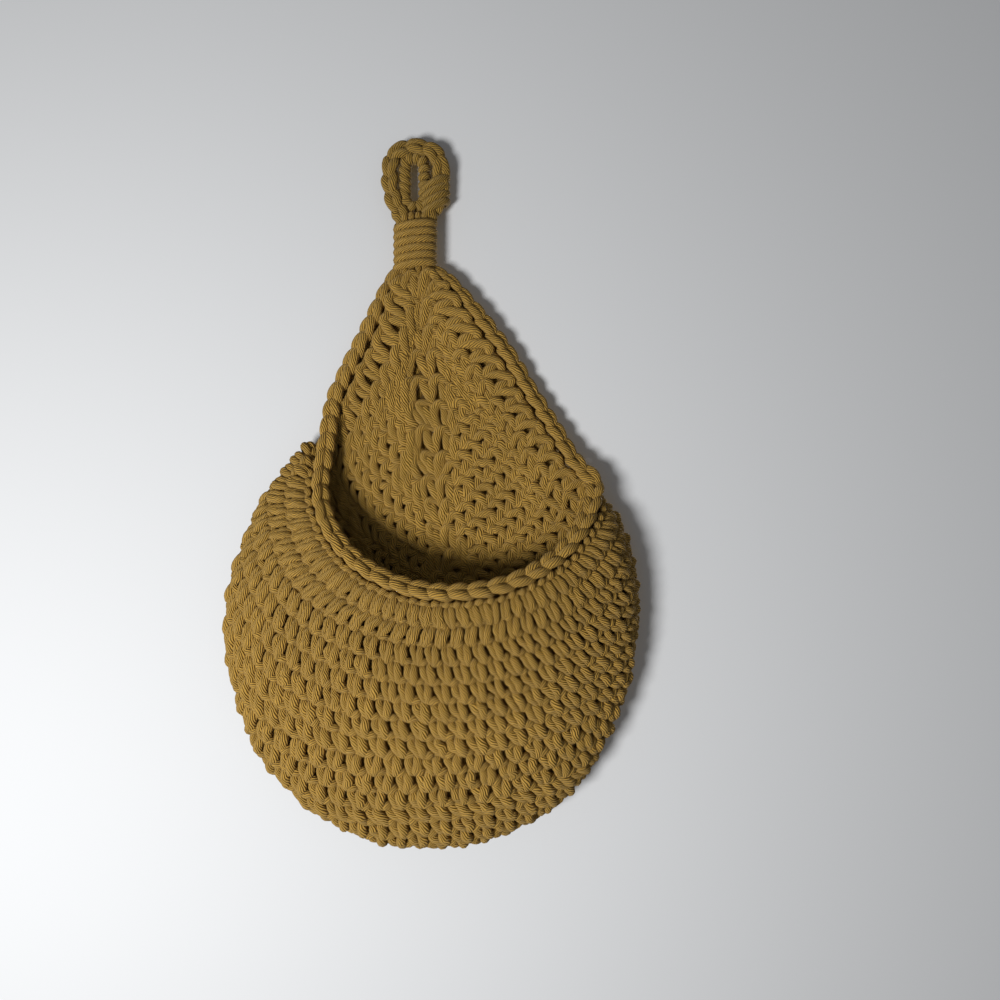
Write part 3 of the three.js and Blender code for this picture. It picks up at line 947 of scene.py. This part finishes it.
@dataclass(frozen=True)
class StitchTie:
    """The way one single crochet is tied, as places that the cord passes in turn.

    Each row holds the place across, in stitch widths to the right for an eye outside, the place
    up, in rows from the hole that the stitch is worked into, the place outwards, in cord radii,
    and the cord's own thickness there, as a share.
    """

    knots: tuple[Knot, ...] = (
        (0.42, 0.95, -0.2, 0.85), (0.29, 0.74, -1.0, 1.05), (0.19, 0.42, -1.25, 1.12),
        (0.08, 0.14, -1.15, 0.95), (0.02, -0.14, -0.3, 0.8), (0.0, 0.04, 0.9, 0.95),
        (-0.03, 0.26, 1.25, 1.15), (-0.12, 0.50, 1.2, 1.2), (-0.22, 0.74, 0.9, 1.08),
        (-0.31, 0.93, 0.3, 0.88), (-0.42, 1.04, -0.15, 0.75), (-0.60, 1.02, -0.15, 0.75),
        (-0.69, 0.86, 0.35, 0.9), (-0.62, 0.66, 0.8, 1.05), (-0.49, 0.46, 0.95, 1.08),
        (-0.34, 0.26, 0.95, 1.0), (-0.16, 0.06, 0.8, 0.9), (-0.05, -0.14, -0.3, 0.8),
        (-0.08, 0.14, -1.15, 0.95), (-0.13, 0.42, -1.3, 1.08), (-0.20, 0.72, -1.4, 1.12),
        (-0.38, 0.98, -1.45, 1.12), (-0.66, 1.04, -1.35, 1.08), (-0.95, 0.94, -0.9, 0.95),
        (-1.32, 1.03, -0.35, 0.85), (-1.50, 1.05, 0.0, 0.75), (-1.33, 1.05, 0.45, 0.85),
        (-1.05, 1.02, 0.35, 0.85), (-0.80, 1.06, 0.95, 1.05), (-0.56, 1.14, 0.7, 0.9),
    )


@dataclass
class Pouch:
    """The crocheted bowl, worked in rounds from the centre of its back to the rim."""

    surface: FabricSurface
    sweep: CordSweep
    tie: StitchTie = StitchTie()
    cord_radius: float = 2.95
    depth_share: float = 0.88
    full_width: float = 13.0
    width_row: float = 0.4
    least_width_share: float = 0.74
    full_height: float = 14.2
    most_swell: float = 1.12
    spread_increase: float = 0.2
    least_lift: float = -0.2
    first_hole: float = 0.28
    path_steps: int = 2
    totals: tuple[int, ...] = (6, 12, 17, 22, 28, 33, 38, 43, 47, 50, 53, 56, 58, 60, 62, 64, 66,
                               68, 70, 72)
    pieces: tuple[tuple[int, int], ...] = ((1, 6), (7, 9), (10, 11), (12, 13), (14, 15), (16, 17),
                                           (18, 18), (19, 19), (20, 20))
    wobble: float = 0.058
    flat_wobble_share: float = 0.6
    uneven: float = 0.045
    seed: int = 7

    def _gaps(self, starts: Array, ends: Array, rows: Pair) -> Array:
        """Straight distances between pairs of places in the middle of the fabric.

        Args:
            starts: Shares of the way round of each pair's first place.
            ends: Shares of the way round of each pair's second place.
            rows: Rounds from the centre of the first places and of the second ones.

        Returns:
            One distance for each pair.
        """
        flat = np.zeros(len(starts))
        first, second = (self.surface.place(around, np.full(len(starts), row), flat)
                         for around, row in zip((starts, ends), rows))
        return np.linalg.norm(second - first, axis=1)

    def _cord_radii(self, upper: StitchRound) -> Array:
        """Radius of the cord in each stitch: slimmer where they crowd, fuller where they stretch.

        Args:
            upper: The round.

        Returns:
            One radius for each stitch.
        """
        tops = np.arange(upper.total)
        middle = upper.row - self.width_row
        width = self._gaps(upper.share(tops - 0.5), upper.share(tops + 0.5), (middle, middle))
        height = self._gaps(upper.share(tops), upper.share(tops), (upper.row - 1.0, upper.row))
        slim = np.clip(width / self.full_width, self.least_width_share, 1.0)
        return self.cord_radius * slim * np.clip(height / self.full_height, 1.0, self.most_swell)

    def _increases(self, bases: Array, below_total: int) -> Array:
        """How far stitches that share one below spread apart, as shares of a stitch.

        Args:
            bases: The stitch below of each stitch.
            below_total: Number of stitches below.

        Returns:
            One shift for each stitch, to the right.
        """
        wrapped = bases % below_total
        before = (wrapped == np.roll(wrapped, 1)).astype(float)
        after = (wrapped == np.roll(wrapped, -1)).astype(float)
        return (before - after) * self.spread_increase

    def _round(self, upper: StitchRound, lower: StitchRound | None,
               chance: np.random.Generator) -> Loop:
        """Path of the cord through one round.

        Args:
            upper: The round itself.
            lower: The round that it is worked into, or None at the centre.
            chance: Source of the small unevenness of hand work.

        Returns:
            Points and radii of the closed loop.
        """
        girths = self._cord_radii(upper)
        if lower is not None:
            bases = upper.bases(lower)
            sharing = self._increases(bases, lower.total)
        across, up, out, thick = np.array(self.tie.knots).T
        lift = np.clip(up, self.least_lift, 1.0)
        points, radii = [], []
        for k in range(upper.total - 1, -1, -1):
            jitter = chance.normal(0, self.wobble, (len(across), 3))
            aside = across + jitter[:, 0] * self.flat_wobble_share
            around = upper.share(k + aside)
            row = np.maximum(up, self.first_hole)
            if lower is not None:
                low = lower.share(bases[k] + aside + sharing[k] * (1 - lift))
                low = low + np.round(around - low)
                around = low + (around - low) * lift
                row = lower.row + up
            radius = girths[k] * (1 + chance.normal(0, self.uneven))
            depth = (out + jitter[:, 2]) * self.cord_radius * self.depth_share
            row = row + jitter[:, 1] * self.flat_wobble_share
            points.append(self.surface.place(around, row, depth))
            radii.append(radius * thick)
        return cord_loop(np.vstack(points), np.concatenate(radii), self.path_steps)

    def build(self) -> list[bpy.types.Object]:
        """Makes the pouch.

        Returns:
            One mesh object for each span of rounds.
        """
        chance = np.random.default_rng(self.seed)
        counts = [StitchRound(self.surface, row + 1, total) for row, total in enumerate(self.totals)]
        loops = {}
        for upper, lower in zip(counts, [None, *counts]):
            loops[upper.row] = self._round(upper, lower, chance)
            log.info("round %d: %d stitches", upper.row, upper.total)
        made = []
        for first, last in self.pieces:
            chosen = [loops[turn] for turn in range(first, last + 1)]
            made.append(self.sweep.mesh(f"pouch_rounds_{first}_to_{last}", chosen))
        return made


@dataclass(frozen=True)
class ChainTie:
    """The way one link of a crocheted chain is tied, as places that the cord passes in turn.

    Each row holds the place along, in links, the place across, in half widths, the place
    outwards, in cord radii, and the cord's own thickness there, as a share.
    """

    knots: tuple[Knot, ...] = (
        (-0.25, 0.10, -0.6, 0.8), (0.00, 0.32, 0.5, 0.95), (0.35, 0.72, 1.1, 1.1),
        (0.75, 1.05, 0.9, 1.1), (1.08, 0.85, 0.1, 0.95), (1.20, 0.00, -0.5, 0.8),
        (1.08, -0.85, 0.1, 0.95), (0.75, -1.05, 0.9, 1.1), (0.35, -0.72, 1.1, 1.1),
        (0.00, -0.32, 0.5, 0.95), (-0.25, -0.10, -0.6, 0.8), (0.15, 0.00, -1.5, 0.9),
        (0.50, 0.00, -1.5, 0.9),
    )


@dataclass
class CordLine:
    """A line with a facing direction at each point, on which cord work is laid."""

    points: Array
    facing: Array
    closed: bool = False

    def __post_init__(self) -> None:
        """Measures the line and squares its facing to it."""
        if self.closed:
            along = np.roll(self.points, -1, axis=0) - np.roll(self.points, 1, axis=0)
        else:
            along = np.gradient(self.points, axis=0)
        self.along = unit(along)
        square = self.facing - self.along * np.sum(self.facing * self.along, 1, keepdims=True)
        self.facing = unit(square)
        self.across = np.cross(self.facing, self.along)
        self.way = distances(self.points, self.closed)

    @property
    def length(self) -> float:
        """Length of the line."""
        return float(self.way[-1])

    def place(self, along: Array, across: Array, out: Array) -> Array:
        """Points beside the line, which goes on straight past its ends.

        Args:
            along: Distances along the line.
            across: Distances to the side.
            out: Distances in the facing direction.

        Returns:
            The points, in millimetres.
        """
        held = along % self.length if self.closed else np.clip(along, 0, self.length)
        beyond = np.zeros(len(along)) if self.closed else along - held
        points = np.zeros((len(along), 3))
        for values, reach in ((self.points, np.ones(len(along))), (self.across, across),
                              (self.facing, out), (self.along, beyond)):
            rows = np.vstack([values, values[:1]]) if self.closed else values
            points += columns_at(rows, held, self.way) * reach[:, None]
        return points


@dataclass
class CordChain:
    """A chain of crocheted links along a line, with its V of two strands facing out."""

    line: CordLine
    slimness: Array | None = None
    tie: ChainTie = ChainTie()
    pitch: float = 12.6
    least_links: int = 3
    half_width: float = 2.9
    radius: float = 2.95
    wobble: float = 0.04
    path_steps: int = 4

    def corners(self, chance: np.random.Generator) -> Loop:
        """Places and radii of the cord through all links, in order.

        Args:
            chance: Source of the small unevenness of hand work.

        Returns:
            Points and radii, before smoothing.
        """
        rows = np.array(self.tie.knots)
        count = max(self.least_links, round(self.line.length / self.pitch))
        step = self.line.length / count
        points, radii = [], []
        for k in range(count):
            jitter = chance.normal(0, self.wobble, (len(rows), 3))
            way = (k + rows[:, 0] + jitter[:, 0]) * step
            slim = np.ones(len(rows))
            if self.slimness is not None:
                slim = np.interp(way, self.line.way, self.slimness)
            points.append(self.line.place(
                way,
                (rows[:, 1] + jitter[:, 1]) * self.half_width * slim,
                (rows[:, 2] + jitter[:, 2]) * self.radius * slim,
            ))
            radii.append(rows[:, 3] * self.radius * np.sqrt(slim))
        return np.vstack(points), np.concatenate(radii)


@dataclass(frozen=True)
class NeckSizes:
    """Driving sizes of the neck, in millimetres, as the solid model has them."""

    x: float = 0.6
    depth: float = 9.6
    half_width: float = 9.7
    half_depth: float = 4.2
    stand: float = 2.7
    wind_start_z: float = -72.75
    wind_pitch: float = 5.3
    wind_turns: float = 5.5
    wind_radius: float = 2.85
    wind_lean: float = 0.07

    @property
    def wind_top_z(self) -> float:
        """Height of the winding's upper end."""
        return self.wind_start_z + self.wind_pitch * self.wind_turns

    def inside(self, places: Sequence[Pair]) -> Array:
        """Points in the middle plane of the neck, from distances to its right and heights."""
        return np.array([(self.x + across, -self.depth, z) for across, z in places])


@dataclass
class RimBraid:
    """The slip-stitched braid that edges the whole rim, with its cord's ends in the neck.

    Its two ends run up into the neck, from end_low_half to end_high_half beside the middle.
    """

    surface: FabricSurface
    sweep: CordSweep
    neck: NeckSizes
    leaving_share: float = 0.6
    room_share: float = 0.8
    end_low_half: float = 7.5
    end_high_half: float = 4.0
    end_rise: float = 9.0
    back_half: float = 3.0
    back_girth: float = 0.8
    seed: int = 11

    def build(self) -> list[bpy.types.Object]:
        """Makes the braid.

        Returns:
            Its one mesh object.
        """
        s, n = self.surface, self.neck
        low, high = n.wind_start_z, n.wind_start_z + self.end_rise
        left = n.inside([(-self.end_high_half, high), (-self.end_low_half, low)])
        right = n.inside([(self.end_low_half, low), (self.end_high_half, high)])
        line = np.vstack([left, s.braid, right])
        facing = unit(s.leaving * self.leaving_share + TO_ROOM * self.room_share)
        facing = np.pad(facing, ((2, 2), (0, 0)), mode="edge")
        slimness = np.pad(s.braid_half / s.braid_half.max(), 2, mode="edge")
        chain = CordChain(CordLine(line, facing), slimness)
        points, radii = chain.corners(np.random.default_rng(self.seed))
        middle = (n.wind_start_z + n.wind_top_z) / 2
        back = n.inside([(self.back_half, middle), (-self.back_half, middle)])
        points = np.vstack([points, back])
        radii = np.concatenate([radii, np.full(len(back), chain.radius * self.back_girth)])
        return [self.sweep.mesh("rim_braid_cord", [cord_loop(points, radii, chain.path_steps)])]


@dataclass
class NeckWinding:
    """The wraps round the neck, and the strands of the neck that run on inside them."""

    neck: NeckSizes
    sweep: CordSweep
    steps: int = 40
    wrap_path_steps: int = 2
    end_inset: float = 3.0
    way_back_half: float = 2.0
    way_back_drop: float = 4.0
    strand_radius: float = 2.2
    strand_pitch: float = 4.6
    strand_count: int = 4
    strand_low: float = 16.0
    strand_high: float = 6.5
    strand_places: int = 9
    strand_path_steps: int = 3

    def _wraps(self) -> Loop:
        """The wound cord, closed by a way back through the neck.

        Returns:
            Points and radii of the closed loop.
        """
        n = self.neck
        turns = np.linspace(0, n.wind_turns, round(n.wind_turns * self.steps) + 1)
        angle = turns * 2 * math.pi
        wide, deep = np.cos(angle), np.sin(angle)
        # The neck is oval, and the cord stands off it squarely to its surface
        stretch = np.hypot(n.half_width * deep, n.half_depth * wide)
        points = np.stack([
            n.x - wide * (n.half_width + n.stand * n.half_depth / stretch),
            -n.depth - deep * (n.half_depth + n.stand * n.half_width / stretch),
            n.wind_start_z + n.wind_pitch * turns - wide * n.half_width * n.wind_lean,
        ], 1)
        low, top = n.wind_start_z, n.wind_top_z
        back = n.inside([
            (n.half_width - self.end_inset, top),
            (self.way_back_half, top - self.way_back_drop),
            (0.0, (top + low) / 2),
            (-self.way_back_half, low + self.way_back_drop),
            (self.end_inset - n.half_width, low),
        ])
        points = np.vstack([points, back])
        return cord_loop(points, np.full(len(points), n.wind_radius), self.wrap_path_steps)

    def _strand(self, index: int) -> Loop:
        """One strand of the neck, doubled back on itself.

        Args:
            index: Its number, from 0 at the left.

        Returns:
            Points and radii of the closed loop.
        """
        n = self.neck
        across = (index - (self.strand_count - 1) / 2) * self.strand_pitch
        low, top = n.wind_start_z - self.strand_low, n.wind_top_z + self.strand_high
        rising = n.inside([(across, z) for z in np.linspace(low, top, self.strand_places)])
        half = TO_ROOM * self.strand_radius
        points = np.vstack([rising + half, rising[::-1] - half])
        return cord_loop(points, np.full(len(points), self.strand_radius), self.strand_path_steps)

    def build(self) -> list[bpy.types.Object]:
        """Makes the winding and the strands, as two mesh objects."""
        strands = [self._strand(index) for index in range(self.strand_count)]
        return [self.sweep.mesh("neck_wraps", [self._wraps()]),
                self.sweep.mesh("neck_strands", strands)]


@dataclass
class HangingRing:
    """The crocheted ring: a chain round its outside and a wrapped cord round its slot.

    Each row of the outline holds shares of the height down and of the half width.
    """

    neck: NeckSizes
    sweep: CordSweep
    top_z: float = 15.5
    height: float = 56.4
    half_width: float = 23.0
    depth: float = 7.0
    slot_half: float = 2.9
    slot_length: float = 27.0
    outline_shares: tuple[Pair, ...] = (
        (0, 0), (0.025, 0.42), (0.11, 0.76), (0.25, 0.95), (0.42, 1), (0.6, 0.97), (0.78, 0.86),
        (0.92, 0.7), (1, 0.6),
    )
    outline_steps: int = 8
    outline_samples: int = 90
    chain_samples: int = 120
    chain_inset: float = 5.9
    chain_pitch: float = 12.0
    chain_lean: float = 0.3
    tail_drop: float = 12.0
    coil_inset: float = 3.8
    coil_radius: float = 2.75
    coil_pitch: float = 5.3
    coil_wide: float = 1.9
    coil_deep: float = 2.6
    coil_slant: float = 0.9
    coil_steps: int = 10
    arc_samples: int = 25
    slot_samples: int = 120
    leg_x: float = 13.4
    leg_top_z: float = -11.0
    leg_turns: int = 4
    leg_steps: int = 24
    leg_path_steps: int = 2
    leg_half_width: float = 7.9
    leg_half_depth: float = 5.6
    leg_lean: float = 0.42
    seed: int = 5

    def _outline(self) -> Array:
        """The outer outline.

        Returns:
            Points from its lower left, over the top, to its lower right, evenly spaced.
        """
        right = [(self.neck.x + self.half_width * across, self.top_z - self.height * down)
                 for down, across in self.outline_shares]
        left = [(2 * self.neck.x - x, z) for x, z in right[:0:-1]]
        smooth = catmull_rom(np.array(left + right), self.outline_steps, closed=False)
        return at_shares(smooth, np.linspace(0, 1, self.outline_samples))

    def _chain(self) -> Loop:
        """The chain along the outside, closed by a way back inside the neck.

        Returns:
            Points and radii of the closed loop.
        """
        line = shifted(self._outline(), self.chain_inset)
        tail = self.neck.wind_top_z - self.tail_drop
        line = np.vstack([(line[0, 0], tail), line, (line[-1, 0], tail)])
        points = standing(at_shares(line, np.linspace(0, 1, self.chain_samples)), self.depth)
        outward = unit(points - np.array([self.neck.x, -self.depth, -self.slot_length / 2]))
        facing = unit(TO_ROOM + outward * self.chain_lean)
        chain = CordChain(CordLine(points, facing), pitch=self.chain_pitch)
        corners, radii = chain.corners(np.random.default_rng(self.seed))
        return cord_loop(corners, radii, chain.path_steps)

    def _coil(self) -> Loop:
        """The cord wrapped round the slot's edge.

        Returns:
            Points and radii of the closed loop.
        """
        reach = self.slot_half + self.coil_inset
        turn = np.linspace(0, math.pi, self.arc_samples)
        top = np.stack([-np.cos(turn) * reach, np.sin(turn) * reach - self.slot_half], 1)
        low = -top - (0, self.slot_length)
        slot = at_shares(np.vstack([top, low, top[:1]]), np.linspace(0, 1, self.slot_samples + 1))
        points = standing(slot[:-1], self.depth)
        line = CordLine(points, np.tile(TO_ROOM, (len(points), 1)), closed=True)
        count = round(line.length / self.coil_pitch)
        step = np.arange(count * self.coil_steps) / self.coil_steps
        angle = step * 2 * math.pi
        way = step * line.length / count
        across = -self.coil_wide * np.cos(angle)
        leftward = -line.place(way, 0 * way, 0 * way)[:, 0] / reach
        slanted = way + across * self.coil_slant * leftward
        path = line.place(slanted, across, self.coil_deep * np.sin(angle))
        return path, np.full(len(path), self.coil_radius)

    def _leg_wraps(self) -> Loop:
        """The cord's end, wound round the right leg of the ring and closed inside it.

        Returns:
            Points and radii of the closed loop.
        """
        turns = np.linspace(0, self.leg_turns, self.leg_turns * self.leg_steps + 1)
        angle = turns * 2 * math.pi
        x = self.neck.x + self.leg_x
        low = self.leg_top_z - self.leg_turns * self.coil_pitch
        wide = -np.cos(angle) * self.leg_half_width
        inner = x - self.leg_half_width / 2
        points = np.vstack([
            np.stack([
                x + wide,
                -self.depth - np.sin(angle) * self.leg_half_depth,
                low + self.coil_pitch * turns + wide * self.leg_lean,
            ], 1),
            (inner, -self.depth, self.leg_top_z - self.coil_pitch),
            (inner, -self.depth, low + self.coil_pitch),
        ])
        return cord_loop(points, np.full(len(points), self.coil_radius), self.leg_path_steps)

    def build(self) -> list[bpy.types.Object]:
        """Makes the ring: its outer chain, its wrapped slot and its wrapped leg."""
        loops = {"ring_chain": self._chain(), "ring_slot_wraps": self._coil(),
                 "ring_leg_wraps": self._leg_wraps()}
        return [self.sweep.mesh(name, [loop]) for name, loop in loops.items()]


@dataclass(frozen=True)
class SoftLamp:
    """A round soft lamp, with its place and diameter in metres and its power in watts."""

    name: str
    at: Triple
    size: float
    power: float

    def build(self, aim: Vector) -> bpy.types.Object:
        """Makes the lamp.

        Args:
            aim: The point that it is turned to.

        Returns:
            The lamp, not yet linked.
        """
        data = bpy.data.lights.new(self.name, "AREA")
        data.shape = "DISK"
        data.size = self.size
        data.energy = self.power
        lamp = bpy.data.objects.new(self.name, data)
        lamp.location = self.at
        lamp.rotation_euler = (aim - Vector(self.at)).to_track_quat("-Z", "Y").to_euler()
        return lamp


@dataclass
class Studio:
    """The pale wall, its soft light from the left, a lamp for the back, and the camera."""

    paint: WallPaint = WallPaint()
    wall_y: float = 0.001
    wall_reach: float = 6.0
    camera_at: Triple = (0.0588, -0.526, -0.2324)
    lens: float = 27.05
    aim_x: float = 0.02
    key: SoftLamp = SoftLamp("soft_key", (-0.42, -0.8, -0.52), 0.3, 10.5)
    back: SoftLamp = SoftLamp("soft_back", (0.45, 0.85, -0.05), 0.5, 6.0)
    world_colour: str = "#E6E8EC"
    world_strength: float = 0.22
    backdrop_strength: float = 0.85

    def _wall_paint(self) -> bpy.types.Material:
        """Matt paint, seen only from the room, so that views from behind show the basket's back.

        Returns:
            The material.
        """
        sheet = NodeSheet(bpy.data.materials.new(self.paint.name))
        path = sheet.add("ShaderNodeLightPath")
        side = sheet.add("ShaderNodeNewGeometry")
        front = sheet.add("ShaderNodeMath", {
            0: path.outputs["Is Camera Ray"], 1: side.outputs["Backfacing"],
        }, operation="SUBTRACT")
        shown = sheet.add("ShaderNodeMixShader", {
            0: front,
            1: sheet.add("ShaderNodeBsdfTransparent"),
            2: sheet.add("ShaderNodeBsdfDiffuse", {"Color": linear(self.paint.colour)}),
        })
        sheet.add("ShaderNodeOutputMaterial", {"Surface": shown})
        return sheet.owner

    def _world(self) -> bpy.types.World:
        """Soft fill from all round, which the camera sees as a pale backdrop.

        Returns:
            The world.
        """
        sheet = NodeSheet(bpy.data.worlds.new("pale studio"))
        path = sheet.add("ShaderNodeLightPath")
        seen = path.outputs["Is Camera Ray"]
        for ray in ("Is Glossy Ray", "Is Transmission Ray"):
            seen = sheet.add("ShaderNodeMath", {0: seen, 1: path.outputs[ray]}, operation="MAXIMUM")
        strength = sheet.add("ShaderNodeMath", {
            0: seen, 1: self.backdrop_strength - self.world_strength, 2: self.world_strength,
        }, operation="MULTIPLY_ADD")
        sky = sheet.add("ShaderNodeBackground", {
            "Color": linear(self.world_colour), "Strength": strength,
        })
        sheet.add("ShaderNodeOutputWorld", {"Surface": sky})
        return sheet.owner

    def build(self) -> None:
        """Makes the wall, the lamps, the world and the camera."""
        mesh = bpy.data.meshes.new("wall")
        plane = bmesh.new()
        bmesh.ops.create_grid(plane, x_segments=1, y_segments=1, size=self.wall_reach / 2)
        plane.to_mesh(mesh)
        plane.free()
        wall = bpy.data.objects.new("wall", mesh)
        wall.rotation_euler = (math.pi / 2, 0, 0)
        wall.location = (0, self.wall_y, self.camera_at[2])
        mesh.materials.append(self._wall_paint())
        aim = Vector((self.aim_x, 0, self.camera_at[2]))
        key = self.key.build(aim)
        back = self.back.build(aim)
        camera_data = bpy.data.cameras.new("camera")
        camera_data.lens = self.lens
        camera = bpy.data.objects.new("camera", camera_data)
        camera.location = self.camera_at
        camera.rotation_euler = (math.pi / 2, 0, 0)
        for thing in (wall, key, back, camera):
            bpy.context.collection.objects.link(thing)
        bpy.context.scene.camera = camera
        bpy.context.scene.world = self._world()
        bpy.context.scene.view_settings.view_transform = "Standard"


@dataclass
class Basket:
    """The whole basket: builds each piece and ties it to the frame and its node."""

    surface: FabricSurface = field(default_factory=FabricSurface)
    sweep: CordSweep = field(default_factory=CordSweep)
    materials: CordMaterials = field(default_factory=CordMaterials)
    neck: NeckSizes = NeckSizes()
    cotton: CottonCord = CottonCord("soft-laid cotton cord, ochre")
    # The same cotton, darker for the ring: its colours are painted shade for the shadows among its
    # tightly worked stitches
    painted_shade_cotton: CottonCord = CottonCord("soft-laid cotton cord, ochre, darkened for painted shade",
                                   light="#9A7932", groove_shade="#583F15")

    def _dress(self, piece: bpy.types.Object, node: str, finish: CottonCord) -> None:
        """Gives a piece its material and its place in the frame.

        Args:
            piece: The mesh object.
            node: The frame's node that it stands for.
            finish: The cord's finish.
        """
        piece.data.materials.append(self.materials.cotton(finish))
        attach(piece, ROOT_BODY)
        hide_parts(node)
        log.info("%s: %d faces", piece.name, len(piece.data.polygons))

    def build(self) -> None:
        """Makes every piece."""
        work = (
            (Pouch(self.surface, self.sweep), "crocheted_pouch", "pouch_cord", self.cotton),
            (RimBraid(self.surface, self.sweep, self.neck), "rim_braid", "rim_cord", self.cotton),
            (NeckWinding(self.neck, self.sweep), "neck_winding", "winding_cord", self.cotton),
            (HangingRing(self.neck, self.sweep), "hanging_ring", "ring_cord", self.painted_shade_cotton),
        )
        for maker, node, slot, finish in work:
            for piece in maker.build():
                self._dress(piece, node, finish)


def main() -> None:
    """Builds the basket and its studio."""
    logging.basicConfig(level=logging.INFO, format="%(name)s: %(message)s")
    Basket().build()
    Studio().build()


if __name__ == "__main__":
    main()
